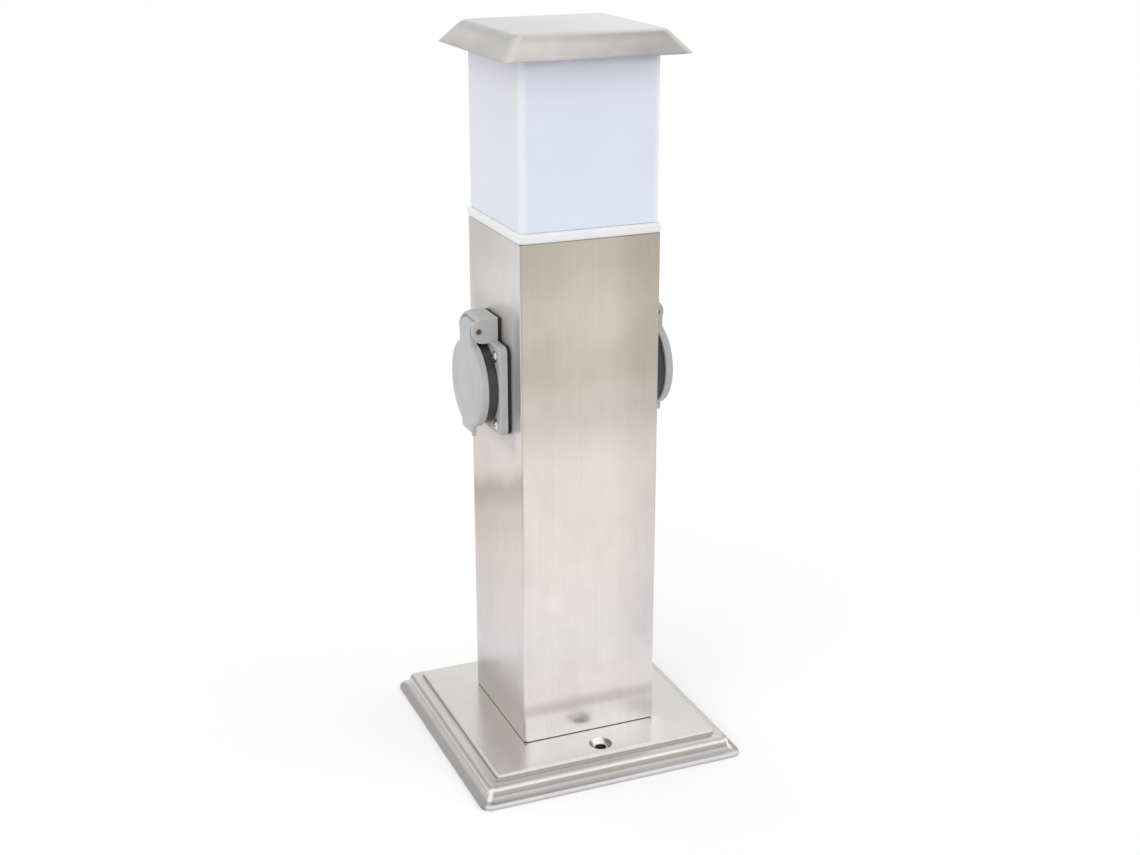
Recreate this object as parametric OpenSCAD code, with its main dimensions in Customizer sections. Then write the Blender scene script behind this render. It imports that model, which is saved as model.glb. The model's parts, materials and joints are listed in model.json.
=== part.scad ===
// Garden socket post: pressed square base, brushed square post with two hinged-lid outlets,
// opal lamp on a white collar, and a hipped sheet cap.
// Millimetres, +Z up. The origin is the centre of the base's underside.
// The outlets are on the -X face (left) and the +X face (right).

/* [Base] */
// Outside width of the square base
base_w = 158; // [150:1:180]
// Sheet thickness of the base
base_wall = 1; // [0.8:0.1:1.2]
// Height of the upright rim at the ground
rim_h = 2.8; // [2.5:0.1:5]
// Rounding of the rim's top edge
rim_r = 1.2; // [0.8:0.1:1.8]
// Inward run of the hollow cove above the rim
cove_run = 4; // [3:0.1:5]
// Rise of the hollow cove above the rim
cove_rise = 4.6; // [3.5:0.1:7]
// Radius of the round shoulder above the cove
shoulder_r = 2.8; // [2:0.1:3.5]
// Width of the flat ledge behind the shoulder
ledge_w = 4.2; // [3:0.1:7]
// Height of the step from the ledge to the flat top
step_h = 3.2; // [2.6:0.1:5]
// Rounding of the step's top edge
step_r = 1.5; // [0.8:0.1:2]
// Corner radius of the base at the ground
base_corner_r = 6; // [5:0.5:9]
// Corner radius of the flat top
top_corner_r = 2; // [1.5:0.1:4]

/* [Ground fixing] */
// Distance between the two fixing holes, along Y
fixing_spacing = 112; // [106:1:114]
// Diameter of a fixing hole
fixing_hole_d = 6.5; // [5:0.5:7]
// Diameter of the pressed dimple round a fixing hole
dimple_d = 12; // [10:0.5:13]
// Depth of the dimple's cone
dimple_depth = 2.4; // [1.5:0.1:3]
// Length of the straight neck under the cone
dimple_neck = 1.5; // [1:0.1:2]

/* [Post] */
// Outside width of the square post
post_w = 80; // [76:1:90]
// Sheet thickness of the post
post_wall = 1; // [0.8:0.1:1.5]
// Height of the post above the base's flat top
post_h = 289; // [280:1:340]
// Outside corner radius of the post
post_corner_r = 1.5; // [1.5:0.1:3]

/* [Post foot] */
// Sheet thickness of the foot bracket's walls
foot_wall = 1.5; // [1:0.1:2]
// Thickness of the foot bracket's floor
foot_floor = 2; // [1.5:0.1:3]
// Height of the foot bracket's walls
foot_h = 18; // [14:1:26]
// Width of the foot bracket's floor, inwards from its outside
foot_flange = 15; // [14:0.5:17]
// Thread diameter of the foot screws
foot_screw_d = 5; // [4:0.5:5]
// Height of the bracket's rear tongue above the base's flat top
tongue_h = 70; // [66:1:80]
// Width of the bracket's rear tongue
tongue_w = 44; // [40:1:48]

/* [Cable inlet] */
// Diameter of the cable hole in the base's flat top
inlet_d = 18; // [16:1:22]
// Bore of the rubber grommet
grommet_bore_d = 10; // [8:0.5:12]
// Overhang of the grommet's two lips
grommet_lip = 3; // [2:0.5:4]

/* [Terminals] */
// Length of the terminal block, along X
block_l = 36; // [34:1:40]
// Depth of the terminal block, along Y
block_d = 14; // [12:1:16]
// Height of the terminal block
block_h = 18; // [17:1:22]
// Height of the terminal block's underside above the base's flat top
block_rise = 38; // [34:1:42]
// Thread diameter of the earth stud
earth_stud_d = 4; // [4:0.5:5]

/* [Lamp] */
// Overhang of the white collar past the post, on each side
collar_lip = 1; // [0.6:0.1:3]
// Visible height of the white collar
collar_h = 5.5; // [5:0.1:8]
// Rounding of the collar's outer edges
collar_edge_r = 1.6; // [1:0.1:2.4]
// Corner radius of the collar
collar_corner_r = 4; // [3:0.5:6]
// Depth of the collar's skirt inside the post
skirt_h = 10; // [8:0.5:14]
// Wall of the collar's skirt and spigot
collar_wall = 2; // [1.5:0.1:2.5]
// Setback of the opal diffuser from the collar's sides
diffuser_set = 1.5; // [1:0.1:2.5]
// Wall of the opal diffuser
diffuser_wall = 2.5; // [2:0.1:3]
// Height of the opal diffuser
diffuser_h = 95; // [92:0.5:110]
// Outside corner radius of the diffuser
diffuser_corner_r = 4; // [3.2:0.1:6]
// Outside diameter of the lamp holder
holder_d = 38; // [36:1:42]
// Height of the lamp holder
holder_h = 38; // [36:1:40]
// Diameter of the lamp's globe
globe_d = 45; // [40:1:46]

/* [Cap] */
// Overhang of the cap's flat top past the diffuser, on each side
cap_margin = 2.25; // [1.5:0.05:4]
// Outward run of the cap's sloping sides, on each side
cap_flare = 10.25; // [8:0.25:14]
// Height of the cap, rim to flat top
cap_h = 12.2; // [10:0.1:16]
// Sheet thickness of the cap
cap_wall = 1; // [0.8:0.1:1.2]
// Corner radius of the cap
cap_corner_r = 5; // [4:0.5:7]

/* [Outlets] */
// Height of the outlets' centres above the ground
socket_z = 219; // [170:1:225]
// Diameter of the plug well
well_d = 39; // [38.5:0.1:40]
// Depth of the plug well, from the black ring's front
well_depth = 17.5; // [17:0.1:18.5]
// Distance between the two pin holes
pin_pitch = 19; // [18.5:0.1:19.5]
// Diameter of a pin hole
pin_hole_d = 5; // [4.9:0.05:5.4]
// Wall of the black ring that stands on the plate
ring_wall = 3.5; // [3:0.1:4]
// Height of the black ring on the plate
ring_h = 5.4; // [4.5:0.1:7]
// Thickness of the rubber gasket
gasket_t = 2; // [1.5:0.1:3]
// Overhang of the gasket past the plate
gasket_lip = 0.6; // [0.3:0.1:1]
// Thickness of the grey plate
plate_t = 4.5; // [4:0.1:6]
// Corner radius of the grey plate
plate_corner_r = 4; // [3:0.5:5]
// Distance from a plate screw's centre to the plate's edges
plate_edge = 6; // [5:0.1:7]
// Head diameter of a plate screw
plate_screw_head_d = 6.2; // [5.6:0.1:6.6]
// Thread diameter of a plate screw
plate_screw_d = 3; // [2.5:0.1:3.5]

/* [Lids] */
// Thickness of the lid's disc
lid_t = 5; // [4.5:0.1:6]
// Overhang of the lid past the black ring
lid_overhang = 1.5; // [1:0.1:1.8]
// Rounding of the lid's front edge
lid_edge_r = 1.4; // [0.8:0.1:1.8]
// Width of the pull tab at the lid's foot
tab_w = 19; // [14:0.5:24]
// Reach of the pull tab below the disc
tab_reach = 1.8; // [1:0.1:3]
// Width of the hinge, over both ears
hinge_w = 21.5; // [20.5:0.5:24]
// Thickness of a hinge ear
ear_t = 2; // [1.6:0.1:2.4]
// Radius of a hinge ear's round end
ear_r = 7; // [6.8:0.1:7.6]
// Radius of the lid's round knuckle
knuckle_r = 4.6; // [4.3:0.1:4.8]
// Diameter of the hinge pin
hinge_pin_d = 3; // [2.5:0.1:3.2]
// Wire diameter of the lid's spring
spring_wire_d = 0.7; // [0.5:0.05:0.8]
// Turns of the lid's spring
spring_turns = 5; // [3:1:5]
// Width of the small nub under the pull tab
nub_w = 1.8; // [1.4:0.1:2.6]
// Reach of the small nub below the pull tab
nub_reach = 1.4; // [1:0.1:2]

/* [Hidden] */

$fn = 64;
left = -1;
right = 1;
// A cut runs this far past the face it opens
past = 1;
// Steps in a rounded profile and in a rounded corner of the pressed sheets
arc_n = 4;
corner_n = 5;

// Clearances
slide_gap = 0.2;
pin_gap = 0.05;
swing_gap = 0.6;
side_gap = 0.3;
screw_gap = 0.2;
seal_gap = 0.3;

// Levels of the base, post and lamp
base_h = rim_h + cove_rise + shoulder_r + step_h;
base_under = base_h - base_wall;
ledge_z = base_h - step_h;
cove_b = base_w / 2 - rim_r;
shoulder_b = cove_b - cove_run;
step_b = shoulder_b - shoulder_r - ledge_w;
post_top = base_h + post_h;
post_in = post_w - 2 * post_wall;
collar_w = post_w + 2 * collar_lip;
collar_top = post_top + collar_h;
diffuser_w = collar_w - 2 * diffuser_set;
diffuser_top = collar_top + diffuser_h;

// Post foot
foot_w = post_in - 2 * slide_gap;
foot_corner_r = 2;
foot_top = base_h + foot_floor;
foot_screw_head_d = foot_screw_d * 1.8;
foot_screw_head_h = foot_screw_d * 0.6;
foot_nut_d = foot_screw_d * 1.85;
foot_nut_h = foot_screw_d * 0.8;
// The nuts clear the bracket's walls
foot_screw_at = foot_w / 2 - foot_wall - foot_nut_d / 2 - side_gap;
earth_nut_d = earth_stud_d * 2;
grommet_lip_t = 2.5;

// Terminals
tongue_in = foot_w / 2 - foot_wall;
block_y = tongue_in - block_d / 2;
block_z = base_h + block_rise;
pole_pitch = block_l / 3;
terminal_well_d = 5.2;
terminal_well_depth = 5;
terminal_screw_h = 2.5;
block_screw_d = 3;

// Lamp collar and lamp holder
skirt_w = post_in - 2 * slide_gap;
skirt_foot = post_top - skirt_h;
skirt_in = skirt_w - 2 * collar_wall;
collar_flange = 8;
collar_flange_t = 2.5;
spigot_w = diffuser_w - 2 * diffuser_wall - 2 * slide_gap;
spigot_h = 9;
spigot_corner_r = 2;
strip_z = skirt_foot + collar_flange_t;
strip_t = 1.5;
strip_w = 16;
strip_l = skirt_in - 2 * slide_gap;
bracket_screw_d = 3;
bracket_screw_at = skirt_in / 2 - collar_flange / 2;
holder_z = strip_z + strip_t;
holder_top = holder_z + holder_h;
nipple_d = 10;
nipple_bore_d = 7;
nipple_nut_d = 16;
nipple_nut_h = 3;
nipple_seat = 5;
nipple_reach = 6;
nipple_foot = strip_z - nipple_reach;
nipple_foot_t = 2;
holder_foot_in = 6;
holder_waist_in = 3;
holder_foot_h = 5;
holder_waist_h = 14;
holder_flare_h = 3;
holder_edge = 1.2;
holder_gap = 0.4;
globe_neck_h = 6;
bulb_cap_d = 26.4;
bulb_cap_h = 26;
bulb_gap = 0.5;
bulb_cap_z = holder_top + bulb_gap - bulb_cap_h;

// Cap and its inner frame
cap_top_w = diffuser_w + 2 * cap_margin;
cap_rim_w = cap_top_w + 2 * cap_flare;
cap_turn = 2.4;
frame_t = 3;
frame_boss_h = 1.6;
frame_spigot_h = 8;
frame_opening = 52;
frame_top = diffuser_top + frame_t;
cap_under = frame_top + frame_boss_h;
cap_top = cap_under + cap_wall;
cap_rim_z = cap_top - cap_h;
cap_stud_d = 4;
cap_nut_d = 7.8;
cap_nut_h = 3;
cap_stud_past = 2;
cap_stud_at = spigot_w / 2 - collar_wall - cap_nut_d / 2 - side_gap;

// Outlet, measured outwards from the post's face and up from the outlet's centre
well_r = well_d / 2;
ring_r = well_r + ring_wall;
sleeve_wall = 1.4;
sleeve_r = well_r + sleeve_wall;
plate_front = gasket_t + plate_t;
ring_front = plate_front + ring_h;
lid_back = ring_front + seal_gap;
lid_front = lid_back + lid_t;
lid_r = ring_r + lid_overhang;
plate_screw_clear = 0.77;
plate_screw_pitch = (ring_r + plate_screw_head_d / 2 + plate_screw_clear) * sqrt(2);
plate_w = plate_screw_pitch + 2 * plate_edge;
well_floor = ring_front - well_depth;
contact_base_t = 20.5;
contact_back = well_floor - contact_base_t;
body_ledge_t = 2;
body_ledge_w = 2.5;
contact_front_t = 2.4;
contact_end_t = 1;
contact_sleeve_wall = 0.8;
contact_sleeve_r = pin_hole_d / 2 + contact_sleeve_wall;
contact_screw_d = 4;
contact_screw_l = 4;
clip_w = 4.5;
clip_t = 0.6;
clip_bulge = 2.4;
clip_gap = 0.25;
guide_w = 5;
guide_h = 1.2;
guide_drop = 4;
clip_drop = 5;

// Hinge
ear_sink = 1;
hinge_y = plate_w / 2 + ear_r - ear_sink;
hinge_out = lid_front - knuckle_r;
ear_setback = 0.5;
ear_mid = lid_front - ear_setback - ear_r;
pocket_r = knuckle_r + swing_gap;
pocket_w = hinge_w - 2 * ear_t;
knuckle_w = pocket_w - 2 * side_gap;
roof_reach = 0.8;
roof_front = hinge_out + roof_reach;
pin_recess = 0.8;
pin_recess_gap = 0.3;
arm_reach = 0.4;
arm_back = hinge_out + arm_reach;
arm_sink = 4;
arm_low = lid_r - arm_sink;
spring_room_w = knuckle_w / 2;
knuckle_wall = 1.3;
spring_room_r = knuckle_r - knuckle_wall;
spring_room_gap = 0.35;
spring_r = spring_room_r - spring_wire_d / 2 - spring_room_gap;
spring_gap = 0.55;
spring_pitch = spring_wire_d + spring_gap;
spring_leg = 6;
seal_w = 3;
seal_t = 1.2;
seal_land = 1;
lid_recess_t = 2;
tab_back = lid_back + 2.2;
tab_step = 1;
tab_cut = 2.8;

spring_sides = 6;
spring_rings = 8;

// Pressed and moulded forms

// A square with round corners, centred
module rounded_square(w, r) {
    square([w - 2 * r, w], center = true);
    square([w, w - 2 * r], center = true);
    for (x = [-1, 1], y = [-1, 1])
        translate([x * (w / 2 - r), y * (w / 2 - r)])
            circle(r);
}

// A square tube standing on z = 0
module square_tube(w, r, wall, h) {
    linear_extrude(h)
        difference() {
            rounded_square(w, r);
            rounded_square(w - 2 * wall, max(r - wall, 0.4));
        }
}

// A rectangle with its four corners rounded, centred on x and standing on y = 0
module soft_section(w, h, e) {
    translate([-w / 2, e])
        square([w, h - 2 * e]);
    translate([-w / 2 + e, 0])
        square([w - 2 * e, h]);
    for (x = [-1, 1], y = [e, h - e])
        translate([x * (w / 2 - e), y])
            circle(e);
}

// A square slab with round corners and round edges, standing on z = 0
module soft_slab(w, h, r, e) {
    for (turn = [0, 90])
        rotate([90, 0, turn])
            linear_extrude(w - 2 * r, center = true)
                soft_section(w, h, e);
    for (x = [-1, 1], y = [-1, 1])
        translate([x * (w / 2 - r), y * (w / 2 - r), 0])
            rotate_extrude()
                intersection() {
                    soft_section(2 * r, h, e);
                    square([r, h]);
                }
}

// One level of a pressed square form: half width b, corner radius r, height z
function level_points(b, r, z) = [
    for (corner = [0:3], step = [0:corner_n])
        let (a = 90 * (corner + step / corner_n), mid = 45 + 90 * corner)
            [sign(cos(mid)) * (b - r) + r * cos(a), sign(sin(mid)) * (b - r) + r * sin(a), z]
];

// Two triangles between each pair of neighbouring points on two levels
function band_faces(low, high, count) = [
    for (i = [0:count - 1], half = [0, 1])
        let (next = (i + 1) % count)
            half == 0 ? [low + i, high + i, high + next] : [low + i, high + next, low + next]
];

// A pressed sheet hood: outside levels from rim to top, then inside levels from top to rim
module pressed_hood(outside, inside) {
    count = 4 * (corner_n + 1);
    levels = concat(outside, inside);
    n_out = len(outside);
    n_all = len(levels);
    points = [for (level = levels, p = level_points(level[0], level[1], level[2])) p];
    walls = [
        for (i = [0:n_all - 1])
            if (i != n_out - 1)
                for (f = band_faces(i * count, ((i + 1) % n_all) * count, count)) f
    ];
    roof = [for (i = [count - 1:-1:0]) (n_out - 1) * count + i];
    ceiling = [for (i = [0:count - 1]) n_out * count + i];
    polyhedron(points, concat(walls, [roof, ceiling]), convexity = 6);
}

function reversed(list) = [for (i = [len(list) - 1:-1:0]) list[i]];
function unit(v) = v / norm(v);

// Direction of a path at its point i
function path_way(path, i) = unit(path[min(i + 1, len(path) - 1)] - path[max(i - 1, 0)]);

// A sideways direction carried along a path without twist
function carried_sides(path, first) = [
    for (i = 0, s = first; i < len(path); i = i + 1,
         s = i < len(path) ? unit(s - (s * path_way(path, i)) * path_way(path, i)) : s)
        unit(s - (s * path_way(path, i)) * path_way(path, i))
];

// A round tube along a path, closed by flat ends
module path_tube(path, r, sides, first) {
    across = carried_sides(path, first);
    points = [
        for (i = [0:len(path) - 1], k = [0:sides - 1])
            let (a = 360 * k / sides, up = cross(path_way(path, i), across[i]))
                path[i] + r * (cos(a) * across[i] + sin(a) * up)
    ];
    walls = [
        for (i = [0:len(path) - 2], f = band_faces(i * sides, (i + 1) * sides, sides)) f
    ];
    near_end = [for (k = [sides - 1:-1:0]) k];
    far_end = [for (k = [0:sides - 1]) (len(path) - 1) * sides + k];
    polyhedron(points, concat(walls, [reversed(near_end), reversed(far_end)]), convexity = 8);
}

// Places an outlet's piece on one face: x along the face, y up, z outwards
module on_face(side) {
    translate([side * post_w / 2, 0, socket_z])
        rotate([90, 0, side * 90])
            children();
}

module at_foot_screws() {
    for (x = [-1, 1], y = [-1, 1])
        translate([x * foot_screw_at, y * foot_screw_at, 0])
            children();
}

module at_plate_screws() {
    for (x = [-1, 1], y = [-1, 1])
        translate([x * plate_screw_pitch / 2, y * plate_screw_pitch / 2, 0])
            children();
}

module at_pin_holes() {
    for (x = [-1, 1])
        translate([x * pin_pitch / 2, 0, 0])
            children();
}

// Lays a drawing of (outwards, up) across the face, centred on the outlet
module hinge_prism(w) {
    rotate([0, -90, 0])
        linear_extrude(w, center = true)
            children();
}

// Base and post

// Corner radius of the base where its half width is b
function base_r(b) = top_corner_r + (base_corner_r - top_corner_r) * (b - (step_b - step_r))
    / (base_w / 2 - (step_b - step_r));

// The base's outside edge, from the ground to the flat top: [half width, height]
function base_edge() = concat(
    [for (i = [0:arc_n])
        let (a = 90 * i / arc_n)
            [cove_b + rim_r * cos(a), rim_h - rim_r + rim_r * sin(a)]],
    [for (i = [1:arc_n])
        let (a = 90 * i / arc_n)
            [cove_b - cove_run * sin(a), rim_h + cove_rise * (1 - cos(a))]],
    [for (i = [1:arc_n])
        let (a = 90 * i / arc_n)
            [shoulder_b - shoulder_r * (1 - cos(a)), ledge_z - shoulder_r * (1 - sin(a))]],
    [[step_b, ledge_z]],
    [for (i = [0:arc_n])
        let (a = 90 * i / arc_n)
            [step_b - step_r * (1 - cos(a)), base_h - step_r * (1 - sin(a))]]
);

module base_cover() {
    edge = base_edge();
    outside = concat(
        [[base_w / 2, base_corner_r, 0]],
        [for (p = edge) [p[0], base_r(p[0]), p[1]]]
    );
    inside = concat(
        reversed([for (p = edge) [p[0] - base_wall, base_r(p[0]) - base_wall / 2, p[1] - base_wall]]),
        [[base_w / 2 - base_wall, base_corner_r - base_wall / 2, 0]]
    );
    hole_r = fixing_hole_d / 2;
    cone_foot = base_h - dimple_depth;
    color([0.84, 0.83, 0.81])
        difference() {
            union() {
                pressed_hood(outside, inside);
                for (y = [-1, 1])
                    translate([0, y * fixing_spacing / 2, cone_foot - dimple_neck]) {
                        cylinder(h = dimple_neck, r = hole_r + base_wall);
                        translate([0, 0, dimple_neck])
                            cylinder(h = dimple_depth - base_wall / 2, r1 = hole_r + base_wall,
                                r2 = dimple_d / 2 + base_wall);
                    }
            }
            for (y = [-1, 1])
                translate([0, y * fixing_spacing / 2, cone_foot]) {
                    cylinder(h = dimple_depth, r1 = hole_r, r2 = dimple_d / 2);
                    translate([0, 0, dimple_depth])
                        cylinder(h = past, r = dimple_d / 2);
                    translate([0, 0, -dimple_neck - past])
                        cylinder(h = dimple_neck + 2 * past, r = hole_r);
                }
            at_foot_screws()
                cylinder(h = base_h + past, r = foot_screw_d / 2 + screw_gap);
            translate([0, 0, base_under - past])
                cylinder(h = base_wall + 2 * past, r = inlet_d / 2);
        }
}

module foot_bracket() {
    color([0.66, 0.67, 0.68])
        translate([0, 0, base_h])
            difference() {
                union() {
                    square_tube(foot_w, foot_corner_r, foot_wall, foot_h);
                    square_tube(foot_w, foot_corner_r, foot_flange, foot_floor);
                    translate([-tongue_w / 2, tongue_in, 0])
                        cube([tongue_w, foot_wall, tongue_h]);
                }
                translate([0, 0, -past]) {
                    at_foot_screws()
                        cylinder(h = foot_floor + 2 * past, r = foot_screw_d / 2 + screw_gap);
                    translate([-foot_w / 2 + foot_flange / 2, 0, 0])
                        cylinder(h = foot_floor + 2 * past, r = earth_stud_d / 2 + screw_gap);
                }
                for (x = [-1, 1])
                    translate([x * pole_pitch / 2, tongue_in - past, block_rise + block_h / 2])
                        rotate([-90, 0, 0])
                            cylinder(h = foot_wall + 2 * past, r = block_screw_d / 2 + pin_gap);
            }
}

module foot_screws() {
    color("silver")
        at_foot_screws() {
            translate([0, 0, base_under - foot_screw_head_h])
                cylinder(h = foot_screw_head_h, r = foot_screw_head_d / 2);
            translate([0, 0, base_under])
                cylinder(h = base_wall + foot_floor + 2 * foot_nut_h, r = foot_screw_d / 2);
        }
}

module foot_nuts() {
    color("silver")
        at_foot_screws()
            translate([0, 0, foot_top])
                difference() {
                    cylinder(h = foot_nut_h, r = foot_nut_d / 2, $fn = 6);
                    translate([0, 0, -past])
                        cylinder(h = foot_nut_h + 2 * past, r = foot_screw_d / 2 + pin_gap);
                }
}

module post_tube() {
    color([0.76, 0.73, 0.69])
        difference() {
            translate([0, 0, base_h])
                square_tube(post_w, post_corner_r, post_wall, post_h);
            for (side = [left, right])
                on_face(side)
                    translate([0, 0, -post_wall - past]) {
                        cylinder(h = post_wall + 2 * past, r = sleeve_r + 2 * slide_gap);
                        at_plate_screws()
                            cylinder(h = post_wall + 2 * past, r = plate_screw_d / 2 + pin_gap);
                    }
        }
}

module cable_grommet() {
    bore_r = grommet_bore_d / 2;
    neck_r = inlet_d / 2 - pin_gap;
    lip_r = inlet_d / 2 + grommet_lip;
    soft = 0.8;
    color([0.12, 0.12, 0.12])
        translate([0, 0, base_under])
            rotate_extrude()
                polygon([
                    [bore_r, -grommet_lip_t], [lip_r - soft, -grommet_lip_t], [lip_r, soft - grommet_lip_t],
                    [lip_r, 0], [neck_r, 0], [neck_r, base_wall], [lip_r, base_wall],
                    [lip_r, base_wall + grommet_lip_t - soft], [lip_r - soft, base_wall + grommet_lip_t],
                    [bore_r, base_wall + grommet_lip_t]
                ]);
}

module at_terminal_wells() {
    for (x = [-1, 0, 1], z = [-1, 1])
        translate([x * pole_pitch, block_y - block_d / 2, block_z + block_h / 2 + z * block_h / 4])
            rotate([-90, 0, 0])
                children();
}

module at_block_screws() {
    for (x = [-1, 1])
        translate([x * pole_pitch / 2, block_y - block_d / 2, block_z + block_h / 2])
            rotate([-90, 0, 0])
                children();
}

module terminal_block() {
    notch = 1.6;
    web_d = block_d / 2;
    color("ivory")
        difference() {
            translate([-block_l / 2, block_y - block_d / 2, block_z])
                cube([block_l, block_d, block_h]);
            for (x = [-1, 1])
                translate([x * pole_pitch / 2 - notch / 2, block_y - block_d / 2 - past, block_z - past])
                    cube([notch, block_d - web_d + past, block_h + 2 * past]);
            at_terminal_wells()
                translate([0, 0, -past])
                    cylinder(h = terminal_well_depth + past, r = terminal_well_d / 2);
            at_block_screws()
                translate([0, 0, -past]) {
                    cylinder(h = web_d + past, r = block_screw_d);
                    cylinder(h = block_d + 2 * past, r = block_screw_d / 2 + pin_gap);
                }
        }
}

module terminal_screws() {
    slot = 0.8;
    color("goldenrod")
        at_terminal_wells()
            translate([0, 0, terminal_well_depth - terminal_screw_h])
                difference() {
                    cylinder(h = terminal_screw_h, r = terminal_well_d / 2 - pin_gap);
                    translate([-terminal_well_d, -slot / 2, -past])
                        cube([2 * terminal_well_d, slot, slot + past]);
                }
}

module block_screws() {
    head_h = 2;
    color("silver")
        at_block_screws() {
            translate([0, 0, block_d / 2 - head_h])
                cylinder(h = head_h, r = block_screw_d - pin_gap);
            translate([0, 0, block_d / 2])
                cylinder(h = block_d / 2 + foot_wall, r = block_screw_d / 2);
        }
}

module earth_stud() {
    washer_t = 1;
    nut_h = earth_stud_d * 0.8;
    color("goldenrod")
        translate([-foot_w / 2 + foot_flange / 2, 0, foot_top]) {
            translate([0, 0, -foot_floor])
                cylinder(h = foot_floor + washer_t + 3 * nut_h, r = earth_stud_d / 2);
            cylinder(h = washer_t, r = earth_stud_d * 1.1);
            translate([0, 0, washer_t])
                cylinder(h = nut_h, r = earth_nut_d / 2, $fn = 6);
        }
}

// Lamp

module lamp_collar() {
    opening_w = skirt_in - 2 * collar_flange;
    color([0.95, 0.95, 0.96])
        difference() {
            union() {
                translate([0, 0, post_top])
                    soft_slab(collar_w, collar_h, collar_corner_r, collar_edge_r);
                translate([0, 0, skirt_foot])
                    linear_extrude(skirt_h + collar_h / 2)
                        rounded_square(skirt_w, foot_corner_r);
                translate([0, 0, collar_top - collar_h / 2])
                    linear_extrude(spigot_h + collar_h / 2)
                        rounded_square(spigot_w, spigot_corner_r);
            }
            translate([0, 0, strip_z])
                linear_extrude(skirt_h + collar_h + spigot_h)
                    rounded_square(min(skirt_in, spigot_w - 2 * collar_wall), spigot_corner_r);
            translate([0, 0, strip_z])
                linear_extrude(skirt_h - collar_flange_t)
                    rounded_square(skirt_in, spigot_corner_r);
            translate([0, 0, skirt_foot - past])
                linear_extrude(collar_flange_t + 2 * past)
                    rounded_square(opening_w, spigot_corner_r);
            for (x = [-1, 1])
                translate([x * bracket_screw_at, 0, skirt_foot - past])
                    cylinder(h = collar_flange_t + 2 * past, r = bracket_screw_d / 2 + pin_gap);
        }
}

module holder_bracket() {
    color([0.72, 0.73, 0.74])
        translate([0, 0, strip_z])
            difference() {
                translate([-strip_l / 2, -strip_w / 2, 0])
                    cube([strip_l, strip_w, strip_t]);
                translate([0, 0, -past]) {
                    cylinder(h = strip_t + 2 * past, r = nipple_d / 2 + screw_gap);
                    for (x = [-1, 1])
                        translate([x * bracket_screw_at, 0, 0])
                            cylinder(h = strip_t + 2 * past, r = bracket_screw_d / 2 + screw_gap);
                }
            }
}

module bracket_screws() {
    head_h = 2;
    color("silver")
        for (x = [-1, 1])
            translate([x * bracket_screw_at, 0, skirt_foot]) {
                cylinder(h = collar_flange_t + strip_t, r = bracket_screw_d / 2);
                translate([0, 0, collar_flange_t + strip_t])
                    cylinder(h = head_h, r = bracket_screw_d);
            }
}

module lamp_holder() {
    side_r = holder_d / 2;
    waist_r = side_r - holder_waist_in;
    waist_z = holder_z + holder_waist_h;
    color([0.93, 0.93, 0.92])
        difference() {
            rotate_extrude()
                polygon([
                    [0, holder_z], [side_r - holder_foot_in, holder_z], [waist_r, holder_z + holder_foot_h],
                    [waist_r, waist_z], [side_r, waist_z + holder_flare_h], [side_r, holder_top - holder_edge],
                    [side_r - holder_edge, holder_top], [0, holder_top]
                ]);
            translate([0, 0, bulb_cap_z])
                cylinder(h = holder_top - bulb_cap_z + past, r = bulb_cap_d / 2 + holder_gap);
            translate([0, 0, holder_z - past])
                cylinder(h = nipple_seat + past, r = nipple_d / 2 + pin_gap);
        }
}

module holder_nipple() {
    color("goldenrod")
        difference() {
            union() {
                translate([0, 0, nipple_foot])
                    cylinder(h = holder_z + nipple_seat - nipple_foot, r = nipple_d / 2);
                translate([0, 0, strip_z - nipple_nut_h])
                    cylinder(h = nipple_nut_h, r = nipple_nut_d / 2, $fn = 6);
            }
            translate([0, 0, nipple_foot + nipple_foot_t])
                cylinder(h = holder_z + nipple_seat, r = nipple_bore_d / 2);
        }
}

module bulb_cap() {
    button_r = 5;
    button_h = 3;
    cone_h = 3;
    soft = 1;
    side_r = bulb_cap_d / 2;
    cone_z = bulb_cap_z + button_h + cone_h;
    color("gainsboro")
        rotate_extrude()
            polygon([
                [0, bulb_cap_z], [button_r, bulb_cap_z], [button_r + soft, bulb_cap_z + button_h],
                [side_r - soft, cone_z], [side_r, cone_z + soft], [side_r, bulb_cap_z + bulb_cap_h],
                [0, bulb_cap_z + bulb_cap_h]
            ]);
}

module bulb_globe() {
    neck_z = holder_top + bulb_gap;
    globe_r = globe_d / 2;
    neck_r = bulb_cap_d / 2;
    globe_z = neck_z + globe_neck_h;
    globe_mid = globe_z + sqrt(pow(globe_r, 2) - pow(neck_r, 2));
    color("white")
        rotate_extrude() {
            translate([0, neck_z])
                square([neck_r, globe_mid - neck_z]);
            intersection() {
                translate([0, globe_mid])
                    circle(globe_r);
                translate([0, globe_z])
                    square([globe_r + past, 2 * globe_d]);
            }
        }
}

module diffuser() {
    color([0.87, 0.88, 0.93])
        translate([0, 0, collar_top])
            square_tube(diffuser_w, diffuser_corner_r, diffuser_wall, diffuser_h);
}

module at_cap_studs() {
    for (x = [-1, 1], y = [-1, 1])
        translate([x * cap_stud_at, y * cap_stud_at, 0])
            children();
}

module cap_frame() {
    boss_r = 4;
    color([0.93, 0.93, 0.94])
        difference() {
            union() {
                translate([0, 0, diffuser_top])
                    linear_extrude(frame_t)
                        difference() {
                            rounded_square(diffuser_w, diffuser_corner_r);
                            rounded_square(frame_opening, spigot_corner_r);
                        }
                translate([0, 0, diffuser_top - frame_spigot_h])
                    square_tube(spigot_w, spigot_corner_r, collar_wall, frame_spigot_h + frame_t / 2);
                at_cap_studs()
                    translate([0, 0, frame_top - frame_t / 2])
                        cylinder(h = frame_boss_h + frame_t / 2, r = boss_r);
            }
            at_cap_studs()
                translate([0, 0, diffuser_top - past])
                    cylinder(h = frame_t + frame_boss_h + 2 * past, r = cap_stud_d / 2 + screw_gap);
        }
}

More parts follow.
